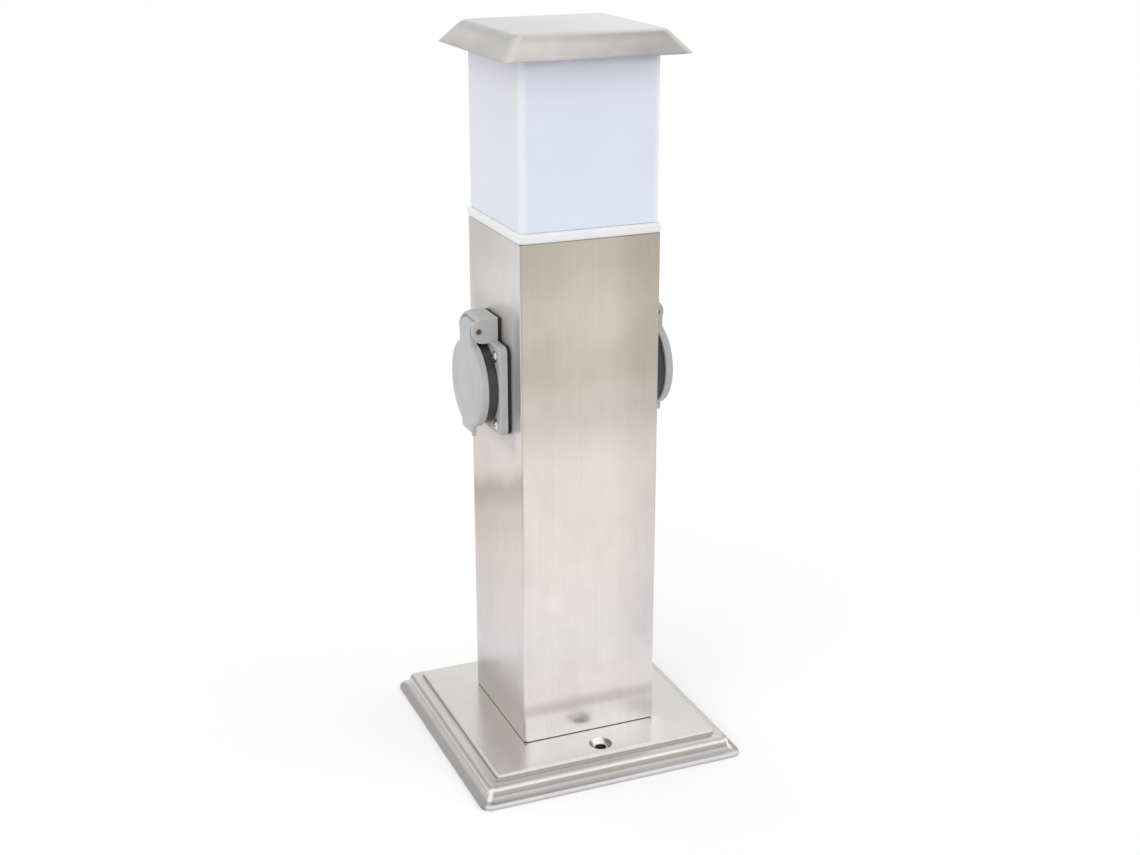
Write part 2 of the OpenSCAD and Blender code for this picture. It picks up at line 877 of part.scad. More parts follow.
module cap_nuts() {
    color("silver")
        at_cap_studs()
            translate([0, 0, diffuser_top - cap_nut_h])
                difference() {
                    cylinder(h = cap_nut_h, r = cap_nut_d / 2, $fn = 6);
                    translate([0, 0, -past])
                        cylinder(h = cap_nut_h + 2 * past, r = cap_stud_d / 2 + pin_gap);
                }
}

// The cap's outside edge: straight hip, then a soft turn into the flat top
function cap_edge() = let (
        rim = [cap_rim_w / 2, cap_rim_z],
        bend = [cap_top_w / 2, cap_top],
        from = bend + cap_turn * unit(rim - bend),
        to = bend - [cap_turn, 0]
    )
    concat([rim], [for (i = [0:arc_n])
        let (t = i / arc_n)
            pow(1 - t, 2) * from + 2 * t * (1 - t) * bend + pow(t, 2) * to]);

module cap() {
    edge = cap_edge();
    lean = (cap_rim_w - cap_top_w) / 2 / cap_h;
    rim_in = cap_rim_w / 2 - cap_wall * (1 + lean);
    outside = [for (p = edge) [p[0], cap_corner_r, p[1]]];
    inside = concat(
        reversed([for (i = [1:len(edge) - 1])
            [edge[i][0] - cap_wall, cap_corner_r - cap_wall / 2, edge[i][1] - cap_wall]]),
        [[rim_in, cap_corner_r - cap_wall / 2, cap_rim_z]]
    );
    color([0.84, 0.82, 0.79]) {
        pressed_hood(outside, inside);
        at_cap_studs()
            translate([0, 0, diffuser_top - cap_nut_h - cap_stud_past])
                cylinder(h = cap_under - diffuser_top + cap_nut_h + cap_stud_past + cap_wall / 2,
                    r = cap_stud_d / 2);
    }
}

// Outlet pieces, in the face's own axes

module gasket() {
    tab_h = hinge_y + ear_r + gasket_lip;
    color([0.08, 0.08, 0.09])
        linear_extrude(gasket_t)
            difference() {
                union() {
                    rounded_square(plate_w + 2 * gasket_lip, plate_corner_r);
                    translate([-hinge_w / 2 - gasket_lip, 0])
                        square([hinge_w + 2 * gasket_lip, tab_h]);
                }
                circle(sleeve_r + slide_gap);
                at_plate_screws()
                    circle(plate_screw_d / 2 + screw_gap);
            }
}

module socket_plate() {
    color([0.76, 0.77, 0.77])
        difference() {
            union() {
                translate([0, 0, gasket_t])
                    linear_extrude(plate_t)
                        rounded_square(plate_w, plate_corner_r);
                hinge_prism(hinge_w) {
                    translate([gasket_t, hinge_y - ear_r])
                        square([ear_mid - gasket_t, 2 * ear_r]);
                    translate([ear_mid, hinge_y])
                        circle(ear_r);
                }
            }
            hinge_prism(pocket_w) {
                translate([hinge_out, hinge_y])
                    circle(pocket_r);
                translate([hinge_out - pocket_r, hinge_y - ear_r - past])
                    square([lid_front, ear_r + past]);
                translate([roof_front, hinge_y])
                    square([lid_front, ear_r + past]);
            }
            translate([0, hinge_y, hinge_out])
                rotate([0, 90, 0]) {
                    cylinder(h = hinge_w + 2 * past, r = hinge_pin_d / 2 + pin_gap / 2, center = true);
                    for (x = [-1, 1])
                        translate([0, 0, x * (hinge_w / 2 + past / 2 - pin_recess / 2)])
                            cylinder(h = pin_recess + past, r = hinge_pin_d / 2 + pin_recess_gap, center = true);
                }
            cylinder(h = plate_front + past, r = sleeve_r + slide_gap);
            at_plate_screws()
                cylinder(h = plate_front + past, r = plate_screw_d / 2 + screw_gap);
        }
}

module socket_body() {
    color([0.2, 0.2, 0.21])
        difference() {
            union() {
                translate([0, 0, plate_front])
                    cylinder(h = ring_h, r = ring_r);
                translate([0, 0, contact_back - body_ledge_t])
                    cylinder(h = plate_front - contact_back + body_ledge_t + past, r = sleeve_r);
            }
            difference() {
                translate([0, 0, contact_back])
                    cylinder(h = ring_front - contact_back + past, r = well_r);
                for (x = [-1, 1])
                    translate([x * well_r - guide_h, -guide_w / 2, well_floor])
                        cube([2 * guide_h, guide_w, well_depth - guide_drop]);
            }
            translate([0, 0, contact_back - body_ledge_t - past])
                cylinder(h = body_ledge_t + 2 * past, r = well_r - body_ledge_w);
        }
}

module contact_base() {
    color([0.16, 0.16, 0.17])
        translate([0, 0, contact_back])
            difference() {
                cylinder(h = contact_base_t, r = well_r - pin_gap);
                at_pin_holes()
                    translate([0, 0, -past]) {
                        cylinder(h = contact_base_t + 2 * past, r = pin_hole_d / 2);
                        cylinder(h = contact_base_t - contact_front_t + past, r = contact_sleeve_r + pin_gap);
                    }
                at_contact_screws()
                    translate([0, 0, -past])
                        cylinder(h = contact_screw_l + past, r = contact_screw_d / 2 + pin_gap);
            }
}

module at_contact_screws() {
    for (a = [45, 135, 270])
        rotate(a)
            translate([well_r - body_ledge_w - contact_screw_d, 0, 0])
                children();
}

module contact_screws() {
    head_h = 1.6;
    color("goldenrod")
        translate([0, 0, contact_back])
            at_contact_screws() {
                cylinder(h = contact_screw_l, r = contact_screw_d / 2);
                translate([0, 0, -head_h])
                    cylinder(h = head_h, r = contact_screw_d * 0.75);
            }
}

module contacts() {
    color("gold")
        at_pin_holes()
            translate([0, 0, contact_back])
                difference() {
                    cylinder(h = contact_base_t - contact_front_t, r = contact_sleeve_r);
                    translate([0, 0, contact_end_t])
                        cylinder(h = contact_base_t, r = pin_hole_d / 2);
                }
}

// Two bowed strips inside the well, above and below
module earth_clips() {
    clip_l = well_depth - clip_drop;
    clip_out = sqrt(pow(well_r, 2) - pow(clip_w / 2, 2)) - clip_gap;
    bow_r = (pow(clip_l / 2, 2) + pow(clip_bulge, 2)) / (2 * clip_bulge);
    clip_mid = well_floor + clip_l / 2;
    color("lightgray")
        for (turn = [0, 180])
            rotate(turn)
                hinge_prism(clip_w)
                    intersection() {
                        translate([clip_mid, clip_out - clip_bulge + bow_r])
                            difference() {
                                circle(bow_r);
                                circle(bow_r - clip_t);
                            }
                        translate([well_floor, clip_out - 2 * clip_bulge])
                            square([clip_l, 2 * clip_bulge]);
                    }
}

module plate_screws() {
    head_h = 1.6;
    head_in = 0.6;
    cross_l = plate_screw_head_d * 0.55;
    cross_w = 0.8;
    point = 6;
    color("whitesmoke")
        at_plate_screws() {
            translate([0, 0, plate_front])
                difference() {
                    cylinder(h = head_h, r1 = plate_screw_head_d / 2, r2 = plate_screw_head_d / 2 - head_in);
                    for (turn = [0, 90])
                        rotate(turn)
                            translate([-cross_l / 2, -cross_w / 2, head_h - cross_w])
                                cube([cross_l, cross_w, cross_w + past]);
                }
            translate([0, 0, -point])
                cylinder(h = plate_front + point, r = plate_screw_d / 2);
        }
}

module lid() {
    color([0.77, 0.78, 0.78])
        difference() {
            union() {
                translate([0, 0, lid_back])
                    rotate_extrude()
                        intersection() {
                            union() {
                                square([lid_r, lid_t - lid_edge_r]);
                                square([lid_r - lid_edge_r, lid_t]);
                                translate([lid_r - lid_edge_r, lid_t - lid_edge_r])
                                    circle(lid_edge_r);
                            }
                            square([lid_r, lid_t]);
                        }
                translate([0, -lid_r, tab_back])
                    linear_extrude(lid_front - tab_step - tab_back)
                        polygon([
                            [-tab_w / 2, lid_r / 2], [-tab_w / 2, tab_cut - tab_reach],
                            [tab_cut - tab_w / 2, -tab_reach], [tab_w / 2 - tab_cut, -tab_reach],
                            [tab_w / 2, tab_cut - tab_reach], [tab_w / 2, lid_r / 2]
                        ]);
                translate([-nub_w / 2, -lid_r - tab_reach - nub_reach, tab_back])
                    cube([nub_w, nub_reach + tab_reach, nub_w]);
                hinge_prism(knuckle_w) {
                    translate([hinge_out, hinge_y])
                        circle(knuckle_r);
                    translate([arm_back, arm_low])
                        square([lid_front - arm_back, hinge_y - arm_low]);
                }
            }
            translate([0, 0, lid_back - past])
                cylinder(h = lid_recess_t + past, r = well_r - seal_land);
            translate([0, 0, lid_back - past])
                difference() {
                    cylinder(h = seal_t + past, r = well_r + seal_w);
                    cylinder(h = seal_t + past, r = well_r);
                }
            translate([0, hinge_y, hinge_out])
                rotate([0, 90, 0]) {
                    cylinder(h = knuckle_w + past, r = hinge_pin_d / 2 + pin_gap, center = true);
                    cylinder(h = spring_room_w, r = spring_room_r, center = true);
                }
            hinge_prism(spring_room_w) {
                translate([hinge_out - knuckle_r - past, hinge_y - spring_leg - past])
                    square([knuckle_r + past + spring_room_r, spring_leg + past]);
                translate([hinge_out - knuckle_r - past, hinge_y - past])
                    square([knuckle_r + past, spring_room_r + past]);
            }
        }
}

module lid_seal() {
    color([0.1, 0.1, 0.1])
        translate([0, 0, lid_back])
            difference() {
                cylinder(h = seal_t, r = well_r + seal_w - pin_gap);
                translate([0, 0, -past])
                    cylinder(h = seal_t + 2 * past, r = well_r + pin_gap);
            }
}

module hinge_pin() {
    color("darkgoldenrod")
        translate([0, hinge_y, hinge_out])
            rotate([0, 90, 0])
                cylinder(h = hinge_w - 2 * pin_recess, r = hinge_pin_d / 2, center = true);
}

// Wound wire round the pin: a leg to the hinge block, the turns, and a leg down behind the lid
function spring_path() = let (
        turns_deg = 360 * spring_turns + 90,
        span = spring_pitch * turns_deg / 360,
        steps = spring_rings * turns_deg / 360,
        back = sqrt(pow(pocket_r, 2) - pow(spring_r + spring_wire_d / 2, 2)) - seal_gap
    )
    concat(
        [[-span / 2, hinge_y + spring_r, hinge_out - back]],
        [for (i = [0:steps])
            let (a = 360 * i / spring_rings)
                [-span / 2 + spring_pitch * i / spring_rings, hinge_y + spring_r * cos(a),
                    hinge_out + spring_r * sin(a)]],
        [[span / 2, hinge_y - spring_leg, hinge_out + spring_r]]
    );

// Least clear distance between points of the wire at least half a turn apart
function least_gap(path, d) = min([
    for (i = [0:len(path) - 1], j = [0:len(path) - 1])
        if (j >= i + spring_rings / 2) norm(path[i] - path[j])
]) - d;

module lid_spring() {
    path = spring_path();
    echo(least_gap_of_lid_spring = least_gap(path, spring_wire_d));
    color("lightsteelblue")
        path_tube(path, spring_wire_d / 2, spring_sides, [1, 0, 0]);
}

base_cover();
foot_bracket();
foot_screws();
foot_nuts();
post_tube();
cable_grommet();
terminal_block();
terminal_screws();
block_screws();
earth_stud();
lamp_collar();
holder_bracket();
bracket_screws();
lamp_holder();
holder_nipple();
bulb_cap();
bulb_globe();
diffuser();
cap_frame();
cap_nuts();
cap();
on_face(left) gasket();  // left_gasket
on_face(left) socket_plate();  // left_plate
on_face(left) socket_body();  // left_socket_body
on_face(left) contact_base();  // left_contact_base
on_face(left) earth_clips();  // left_earth_clips
on_face(left) contacts();  // left_contacts
on_face(left) contact_screws();  // left_contact_screws
on_face(left) plate_screws();  // left_plate_screws
on_face(left) lid();  // left_lid
on_face(left) lid_seal();  // left_lid_seal
on_face(left) hinge_pin();  // left_hinge_pin
on_face(left) lid_spring();  // left_lid_spring
on_face(right) gasket();  // right_gasket
on_face(right) socket_plate();  // right_plate
on_face(right) socket_body();  // right_socket_body
on_face(right) contact_base();  // right_contact_base
on_face(right) earth_clips();  // right_earth_clips
on_face(right) contacts();  // right_contacts
on_face(right) contact_screws();  // right_contact_screws
on_face(right) plate_screws();  // right_plate_screws
on_face(right) lid();  // right_lid
on_face(right) lid_seal();  // right_lid_seal
on_face(right) hinge_pin();  // right_hinge_pin
on_face(right) lid_spring();  // right_lid_spring
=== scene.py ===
import json
import math

import bmesh
import bpy
from mathutils import Matrix, Vector


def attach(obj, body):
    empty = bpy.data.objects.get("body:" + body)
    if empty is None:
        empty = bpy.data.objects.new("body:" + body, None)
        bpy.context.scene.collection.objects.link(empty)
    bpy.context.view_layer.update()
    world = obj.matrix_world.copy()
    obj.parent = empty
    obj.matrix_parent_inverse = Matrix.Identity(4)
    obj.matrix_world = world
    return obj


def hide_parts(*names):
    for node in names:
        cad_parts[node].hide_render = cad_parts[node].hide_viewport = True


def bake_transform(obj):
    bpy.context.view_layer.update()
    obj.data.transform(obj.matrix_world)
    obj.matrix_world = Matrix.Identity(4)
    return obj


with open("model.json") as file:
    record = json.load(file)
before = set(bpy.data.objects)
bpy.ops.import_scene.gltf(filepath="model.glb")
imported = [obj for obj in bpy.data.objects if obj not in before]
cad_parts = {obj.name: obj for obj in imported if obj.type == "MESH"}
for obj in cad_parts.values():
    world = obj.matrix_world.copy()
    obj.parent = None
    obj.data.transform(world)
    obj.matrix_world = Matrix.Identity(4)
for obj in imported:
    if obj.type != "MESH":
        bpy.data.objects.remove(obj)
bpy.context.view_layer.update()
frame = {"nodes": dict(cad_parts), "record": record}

mm = 0.001
nearly = 1e-6   # metres, counts as the same place
print("stage: frame loaded,", len(frame["nodes"]), "nodes")

# Camera, at the photo's viewing angle
cameraSet = {
    "place": (-0.3419, -0.8325, 0.5036),
    "yaw": 22.59,       # degrees, to the right of +Y
    "tilt": 19.47,      # degrees, downwards
    "lens": 53.48,
    "sensor": 36.0,
    "clip": (0.01, 20.0),
}


# Puts a camera or a lamp at its place, looking along a direction
def placeLooking(name, data, place, look):
    made = bpy.data.objects.new(name, data)
    bpy.context.scene.collection.objects.link(made)
    made.location = place
    made.rotation_mode = "QUATERNION"
    made.rotation_quaternion = look.to_track_quat("-Z", "Y")
    return made


def addCamera():
    c = cameraSet
    yaw, tilt = math.radians(c["yaw"]), math.radians(c["tilt"])
    look = Vector((math.sin(yaw) * math.cos(tilt), math.cos(yaw) * math.cos(tilt), -math.sin(tilt)))
    data = bpy.data.cameras.new("photoCamera")
    data.lens = c["lens"]
    data.sensor_width = c["sensor"]
    data.clip_start, data.clip_end = c["clip"]
    bpy.context.scene.camera = placeLooking("photoCamera", data, c["place"], look)


addCamera()
print("stage: camera")


# Shader maths on sockets
class Wire:
    def __init__(self, tree, socket=None):
        self.tree = tree
        self.socket = socket

    def node(self, kind, settings, inputs, output=0):
        made = self.tree.nodes.new(kind)
        for name, value in settings.items():
            if name == "stops":
                ramp = made.color_ramp
                ramp.interpolation = "EASE"
                while len(ramp.elements) < len(value):
                    ramp.elements.new(0.5)  # moved to its place below
                for element, (place, colour) in zip(ramp.elements, value):
                    element.position = place
                    element.color = (*colour, 1.0)
            else:
                setattr(made, name, value)
        for name, value in inputs.items():
            if isinstance(value, Wire):
                self.tree.links.new(value.socket, made.inputs[name])
            else:
                made.inputs[name].default_value = value
        return Wire(self.tree, made.outputs[output])

    def math(self, operation, first, second):
        return self.node("ShaderNodeMath", {"operation": operation}, {0: first, 1: second})

    def __add__(self, other):
        return self.math("ADD", self, other)

    def __radd__(self, other):
        return self.math("ADD", other, self)

    def __sub__(self, other):
        return self.math("SUBTRACT", self, other)

    def __rsub__(self, other):
        return self.math("SUBTRACT", other, self)

    def __mul__(self, other):
        return self.math("MULTIPLY", self, other)

    def __rmul__(self, other):
        return self.math("MULTIPLY", other, self)

    def __pow__(self, other):
        return self.math("POWER", self, other)

    def __abs__(self):
        return self.math("ABSOLUTE", self, 0.0)


def objectPlace(wire):
    return wire.node("ShaderNodeTexCoord", {}, {}, "Object")


def along(wire, axis):
    return wire.node("ShaderNodeSeparateXYZ", {}, {"Vector": objectPlace(wire)}, axis)


# Distances from the two middle planes, and the height
def fromMiddle(wire):
    return abs(along(wire, "X")), abs(along(wire, "Y")), along(wire, "Z")


def noise(wire, scale, detail, rough, turn=(0.0, 0.0, 0.0)):
    inputs = {"Vector": objectPlace(wire), "Scale": scale, "Rotation": turn}
    place = wire.node("ShaderNodeMapping", {}, inputs)
    inputs = {"Vector": place, "Scale": 1.0, "Detail": detail, "Roughness": rough}
    return wire.node("ShaderNodeTexNoise", {}, inputs, "Fac")


# What a noise adds to a value, on both sides of its middle
def sway(field, share):
    return (field - 0.5) * share


def noises(wire, settings):
    return {name: noise(wire, *setting) for name, setting in settings.items()}


# A value with noises on it, each by its share
def swayed(value, fields, shares):
    for name, share in shares.items():
        value = value + sway(fields[name], share)
    return value


# Two noises added together by their shares
def weighed(fields, shares):
    first, second = (fields[name] * share for name, share in shares.items())
    return first + second


def band(value, low, high):
    inputs = {"Value": value, "From Min": low, "From Max": high, "To Min": 0.0, "To Max": 1.0}
    return value.node("ShaderNodeMapRange", {"interpolation_type": "SMOOTHSTEP"}, inputs)


def colourInput(colour):
    return colour if isinstance(colour, Wire) else (*colour, 1.0)


# Sockets 6, 7 and 2 are the node's two colours and its result
def mixColour(factor, first, second):
    inputs = {"Factor": factor, 6: colourInput(first), 7: colourInput(second)}
    return factor.node("ShaderNodeMix", {"data_type": "RGBA"}, inputs, 2)


def grey(level):
    return level.node("ShaderNodeCombineColor", {}, {0: level, 1: level, 2: level})


# Multiplies a colour by a level that may vary
def toned(colour, level):
    inputs = {"Factor": 1.0, 6: colour, 7: grey(level)}
    return colour.node("ShaderNodeMix", {"data_type": "RGBA", "blend_type": "MULTIPLY"}, inputs, 2)


# Screen levels of 0 to 255 as linear colour
def screen(*levels):
    shares = [level / 255.0 for level in levels]
    return tuple(v / 12.92 if v <= 0.04045 else ((v + 0.055) / 1.055) ** 2.4 for v in shares)


# A run of tones along a value: stops of (value, tone), tones written as screen levels
def tones(value, stops):
    low, high = stops[0][0], stops[-1][0]
    placed = [((at - low) / (high - low), screen(*tone)) for at, tone in stops]
    share = (value - low) * (1.0 / (high - low))
    return value.node("ShaderNodeValToRGB", {"stops": placed}, {"Fac": share})


def firstNode(tree, kind):
    return next(n for n in tree.nodes if n.type == kind)


# What a finish hands to its shader; bump is (strength, distance)
def skin(colour, rough, relief, bump):
    inputs = {"Height": relief, "Strength": bump[0], "Distance": bump[1]}
    return {"Base Color": colour, "Roughness": rough, "Normal": relief.node("ShaderNodeBump", {}, inputs)}


def makeMaterial(name, fixed, build):
    material = bpy.data.materials.new(name)
    material.use_nodes = True
    tree = material.node_tree
    shader = firstNode(tree, "BSDF_PRINCIPLED")
    for socket, value in fixed.items():
        shader.inputs[socket].default_value = value
    for socket, wire in build(Wire(tree)).items():
        tree.links.new(wire.socket, shader.inputs[socket])
    return material


# In the finishes below, tones are (place in metres, screen levels), noises are (scale, detail, roughness),
# and most other pairs are where a soft mask starts and ends

# Brushed stainless of the post: fine upright grain over soft tones that run down each face; these tones are
# painted reflections and shade, with painted dark reflection lines near the foot and across the side face
postSteel = {
    # painted reflections and shade, as a tone run up the front faces
    "front": (
        (0.0134, (232, 228, 225)), (0.0270, (228, 223, 220)), (0.0325, (203, 198, 196)),
        (0.0400, (227, 222, 221)), (0.0700, (228, 223, 223)), (0.1750, (228, 220, 212)),
        (0.2140, (206, 197, 188)), (0.2320, (197, 187, 176)), (0.2600, (203, 193, 182)),
        (0.3024, (189, 180, 169)),
    ),
    # painted reflections and shade, as a tone run up the side faces, darker than the front
    "side": (
        (0.0134, (204, 199, 196)), (0.0300, (198, 193, 190)), (0.0520, (214, 209, 210)),
        (0.1100, (210, 203, 199)), (0.1380, (199, 190, 183)), (0.1540, (178, 169, 162)),
        (0.1680, (211, 205, 201)), (0.2700, (210, 206, 203)), (0.3024, (198, 194, 192)),
    ),
    "fold": (-0.0004, 0.0004),
    "free": (0.030, 0.080), "frontWander": 0.034, "sideWander": 0.012,  # the tones wander above the foot
    "sideLean": 0.4, "leanEnd": (-0.001, 0.001),  # and lean on the left face
    # painted light and shade across the faces: lighter down the middle of the front, darker to its right, and
    # the sides darker towards the rear
    "middle": 0.10, "middleReach": (0.006, 0.030), "middleRise": (0.200, 0.250),
    "right": 0.13, "rightReach": (0.010, 0.034), "rightAtFoot": 0.1,
    "rear": 0.10, "rearReach": (-0.030, 0.032),
    "edgeShade": 0.22, "edgeAt": (0.03885, 0.03950), "edgeRise": (0.080, 0.160),  # painted dark line on the folds
    "noises": {
        "grain": ((2200.0, 2200.0, 26.0), 2.0, 0.6), "streak": ((520.0, 520.0, 7.0), 3.0, 0.55),
        "patch": ((26.0, 26.0, 19.0), 3.0, 0.5), "mottle": ((95.0, 95.0, 75.0), 3.0, 0.55),
    },
    "level": {"patch": 0.16, "mottle": 0.12, "streak": 0.09, "grain": 0.14},
    "rough": 0.33, "uneven": {"grain": 0.14, "patch": 0.10}, "footRough": 0.09, "footRise": (0.020, 0.085),
    "outletRough": 0.26, "outletReach": (0.027, 0.036),  # hazier beside the outlets
    "outletMiddle": 0.224, "outletHeight": (0.033, 0.046),
    "relief": {"grain": 0.7, "streak": 0.3}, "bump": (0.06, 0.0003),
}


def buildPostSteel(wire):
    s = postSteel
    fields = noises(wire, s["noises"])
    x, y, z = fromMiddle(wire)
    signedX, signedY = along(wire, "X"), along(wire, "Y")
    free = band(z, *s["free"])
    wander = z + sway(fields["patch"], s["frontWander"]) * free
    lean = signedY * (1.0 - band(signedX, *s["leanEnd"])) * s["sideLean"]
    leaning = z + (sway(fields["patch"], s["sideWander"]) + lean) * free
    onSide = band(x - y, *s["fold"])
    # front and side tone runs: painted reflections and shade
    colour = mixColour(onSide, tones(wander, s["front"]), tones(leaning, s["side"]))
    # painted light down the middle of the front, painted shade to its right and towards the sides' rear
    acrossFront = (1.0 - band(x, *s["middleReach"])) * band(z, *s["middleRise"]) * s["middle"]
    rightFree = s["rightAtFoot"] + free * (1.0 - s["rightAtFoot"])
    acrossFront = acrossFront - band(signedX, *s["rightReach"]) * rightFree * s["right"]
    acrossSide = 0.5 * s["rear"] - band(signedY, *s["rearReach"]) * s["rear"]
    across = acrossFront * (1.0 - onSide) + acrossSide * onSide
    colour = toned(colour, swayed(1.0 + across, fields, s["level"]))
    # painted dark line along the folded corners
    edge = band(wire.math("MINIMUM", x, y), *s["edgeAt"]) * band(z, *s["edgeRise"])
    colour = toned(colour, 1.0 - edge * s["edgeShade"])
    foot = 1.0 - band(z, *s["footRise"])
    rough = swayed(s["rough"] - foot * s["footRough"], fields, s["uneven"])
    atOutlet = 1.0 - band(abs(z - s["outletMiddle"]), *s["outletHeight"])
    rough = rough + onSide * atOutlet * (1.0 - band(y, *s["outletReach"])) * s["outletRough"]
    return skin(colour, rough, weighed(fields, s["relief"]), s["bump"])


# Pressed stainless of the base: tones from the ground up its edge that are painted highlights and shade,
# brighter at front and rear than at the sides as painted light, painted highlights down the four corners, and
# painted bright and dark cheeks in each fixing dimple
baseSteel = {
    # painted highlights and shade up the edge, on front and rear
    "front": (
        (0.0000, (186, 184, 184)), (0.0024, (226, 224, 225)), (0.0031, (178, 174, 175)),
        (0.0046, (200, 196, 193)), (0.0056, (166, 162, 157)), (0.0075, (180, 177, 174)),
        (0.0086, (243, 242, 242)), (0.0100, (190, 188, 187)), (0.0102, (212, 211, 208)),
        (0.0104, (168, 164, 161)), (0.0125, (228, 226, 225)), (0.0134, (215, 213, 210)),
    ),
    # painted highlights and shade up the edge, darker on the sides
    "side": (
        (0.0000, (150, 147, 146)), (0.0030, (162, 159, 158)), (0.0046, (190, 187, 187)),
        (0.0080, (211, 208, 208)), (0.0099, (165, 162, 160)), (0.0102, (205, 202, 200)),
        (0.0104, (165, 161, 158)), (0.0120, (166, 162, 159)), (0.0134, (213, 211, 208)),
    ),
    "fold": (-0.0012, 0.0012),
    # painted highlight down the corners' coves
    "corner": screen(244, 243, 243), "cornerShare": 0.9, "cornerWidth": (0.0010, 0.0026),
    "coveFoot": (0.0029, 0.0036), "coveTop": (0.0084, 0.0094), "flatTop": (0.0131, 0.01335),
    # painted reflections of the post on the flat top: light before it, shade beside it
    "postFront": 0.040, "frontLine": (-0.0005, 0.0005), "lean": 0.437,
    "beforePost": screen(252, 252, 252), "leftEnd": (-0.046, -0.034), "rightEnd": (0.026, 0.050),
    "besidePost": screen(214, 210, 207), "outerEnd": (-0.0660, -0.0540), "rearEnd": (-0.050, 0.045),
    "dimple": (     # painted highlight and shade across each hole, from its middle
        (0.0000, (250, 250, 250)), (0.0026, (240, 239, 239)), (0.0044, (150, 147, 145)),
        (0.0062, (128, 125, 123)),
    ),
    "dimpleAt": 0.056, "dimpleRim": (0.0062, 0.0068),
    "noises": {
        "grain": ((3000.0, 420.0, 900.0), 2.0, 0.6), "streak": ((260.0, 260.0, 8.0), 2.0, 0.5),
        "patch": ((20.0, 20.0, 20.0), 3.0, 0.5, (0.0, 0.0, 0.7)),
    },
    "level": {"patch": 0.16, "grain": 0.06, "streak": 0.08},
    "rough": 0.24, "uneven": {"grain": 0.10, "patch": 0.12}, "bump": (0.05, 0.0003),
}


def buildBaseSteel(wire):
    s = baseSteel
    fields = noises(wire, s["noises"])
    x, y, z = fromMiddle(wire)
    signedX, signedY = along(wire, "X"), along(wire, "Y")
    # painted highlights and shade up the edge, darker on the sides
    colour = mixColour(band(x - y, *s["fold"]), tones(z, s["front"]), tones(z, s["side"]))
    # painted highlight down each corner's cove
    cornerGlint = 1.0 - band(abs(x - y), *s["cornerWidth"])
    cove = band(z, *s["coveFoot"]) * (1.0 - band(z, *s["coveTop"]))
    colour = mixColour(cornerGlint * cove * s["cornerShare"], colour, s["corner"])
    # painted light before the post and painted shade beside it, on the flat top: reflections of the post
    ahead = -s["postFront"] - signedY
    across = signedX + wire.math("MAXIMUM", ahead, 0.0) * s["lean"]
    flat, fromLeft = band(z, *s["flatTop"]), band(across, *s["leftEnd"])
    before = band(ahead, *s["frontLine"]) * fromLeft * (1.0 - band(across, *s["rightEnd"])) * flat
    colour = mixColour(before, colour, s["beforePost"])
    beside = (1.0 - fromLeft) * band(signedX, *s["outerEnd"]) * (1.0 - band(signedY, *s["rearEnd"])) * flat
    colour = mixColour(beside, colour, s["besidePost"])
    # painted highlight and shade in each fixing dimple
    fromHole = y - s["dimpleAt"]
    inside = 1.0 - band((x * x + fromHole * fromHole) ** 0.5, *s["dimpleRim"])
    colour = mixColour(inside, colour, tones(x, s["dimple"]))
    colour = toned(colour, swayed(1.0, fields, s["level"]))
    return skin(colour, swayed(s["rough"], fields, s["uneven"]), fields["grain"], s["bump"])


# Pressed stainless of the cap: smooth pale top, cloudy hips, broad painted highlights down the corners,
# painted shade on the hips and painted light on the top's right
capSteel = {
    # tones up the hips: painted shade, darkest at the rim
    "tone": (
        (0.3960, (188, 186, 184)), (0.3980, (208, 205, 203)), (0.4030, (215, 212, 209)),
        (0.4065, (203, 201, 200)), (0.4085, (208, 208, 209)),
    ),
    "hipTop": (0.4065, 0.4084), "fold": (-0.0012, 0.0012),
    # painted shade on the side hips and towards the right of the front hips, painted light on the top's right
    "sideShade": 0.20, "sideTop": (0.4079, 0.40848),
    "rightShade": 0.27, "topGlow": 0.16, "rightReach": (-0.036, 0.036),
    # painted highlights down the round corners, darker on the side flank
    "corner": screen(222, 218, 213), "cornerSide": screen(208, 205, 202), "cornerFold": (-0.0030, 0.0030),
    "cornerShare": 0.7, "cornerWidth": (0.0022, 0.0056),
    "noises": {"grain": ((1800.0, 260.0, 260.0), 2.0, 0.6), "patch": ((52.0, 52.0, 80.0), 4.0, 0.6)},
    "patchLevel": 0.12, "hipPatch": 0.26, "grainLevel": 0.06,
    "rough": 0.33, "uneven": {"grain": 0.10, "patch": 0.12},
    "relief": {"grain": 0.5, "patch": 0.5}, "bump": (0.05, 0.0004),
}


def buildCapSteel(wire):
    s = capSteel
    fields = noises(wire, s["noises"])
    x, y, z = fromMiddle(wire)
    hips = 1.0 - band(z, *s["hipTop"])
    flank = band(x - y, *s["fold"])
    # painted shade on the side hips and to the right of the front hips, painted light on the top's right
    side = flank * (1.0 - band(z, *s["sideTop"]))
    rightward = band(along(wire, "X"), *s["rightReach"])
    level = 1.0 + sway(fields["patch"], s["patchLevel"] + hips * s["hipPatch"])
    level = level + sway(fields["grain"], s["grainLevel"]) - side * s["sideShade"]
    level = level - (1.0 - flank) * hips * rightward * s["rightShade"]
    level = level + (1.0 - hips) * rightward * s["topGlow"]
    colour = toned(tones(z, s["tone"]), level)
    # painted highlight down each round corner
    apart = wire.math("MAXIMUM", x, y) - wire.math("MINIMUM", x, y)
    hip = (1.0 - band(apart, *s["cornerWidth"])) * hips
    cornerHighlight = mixColour(band(x - y, *s["cornerFold"]), s["corner"], s["cornerSide"])
    colour = mixColour(hip * s["cornerShare"], colour, cornerHighlight)
    return skin(colour, swayed(s["rough"], fields, s["uneven"]), weighed(fields, s["relief"]), s["bump"])


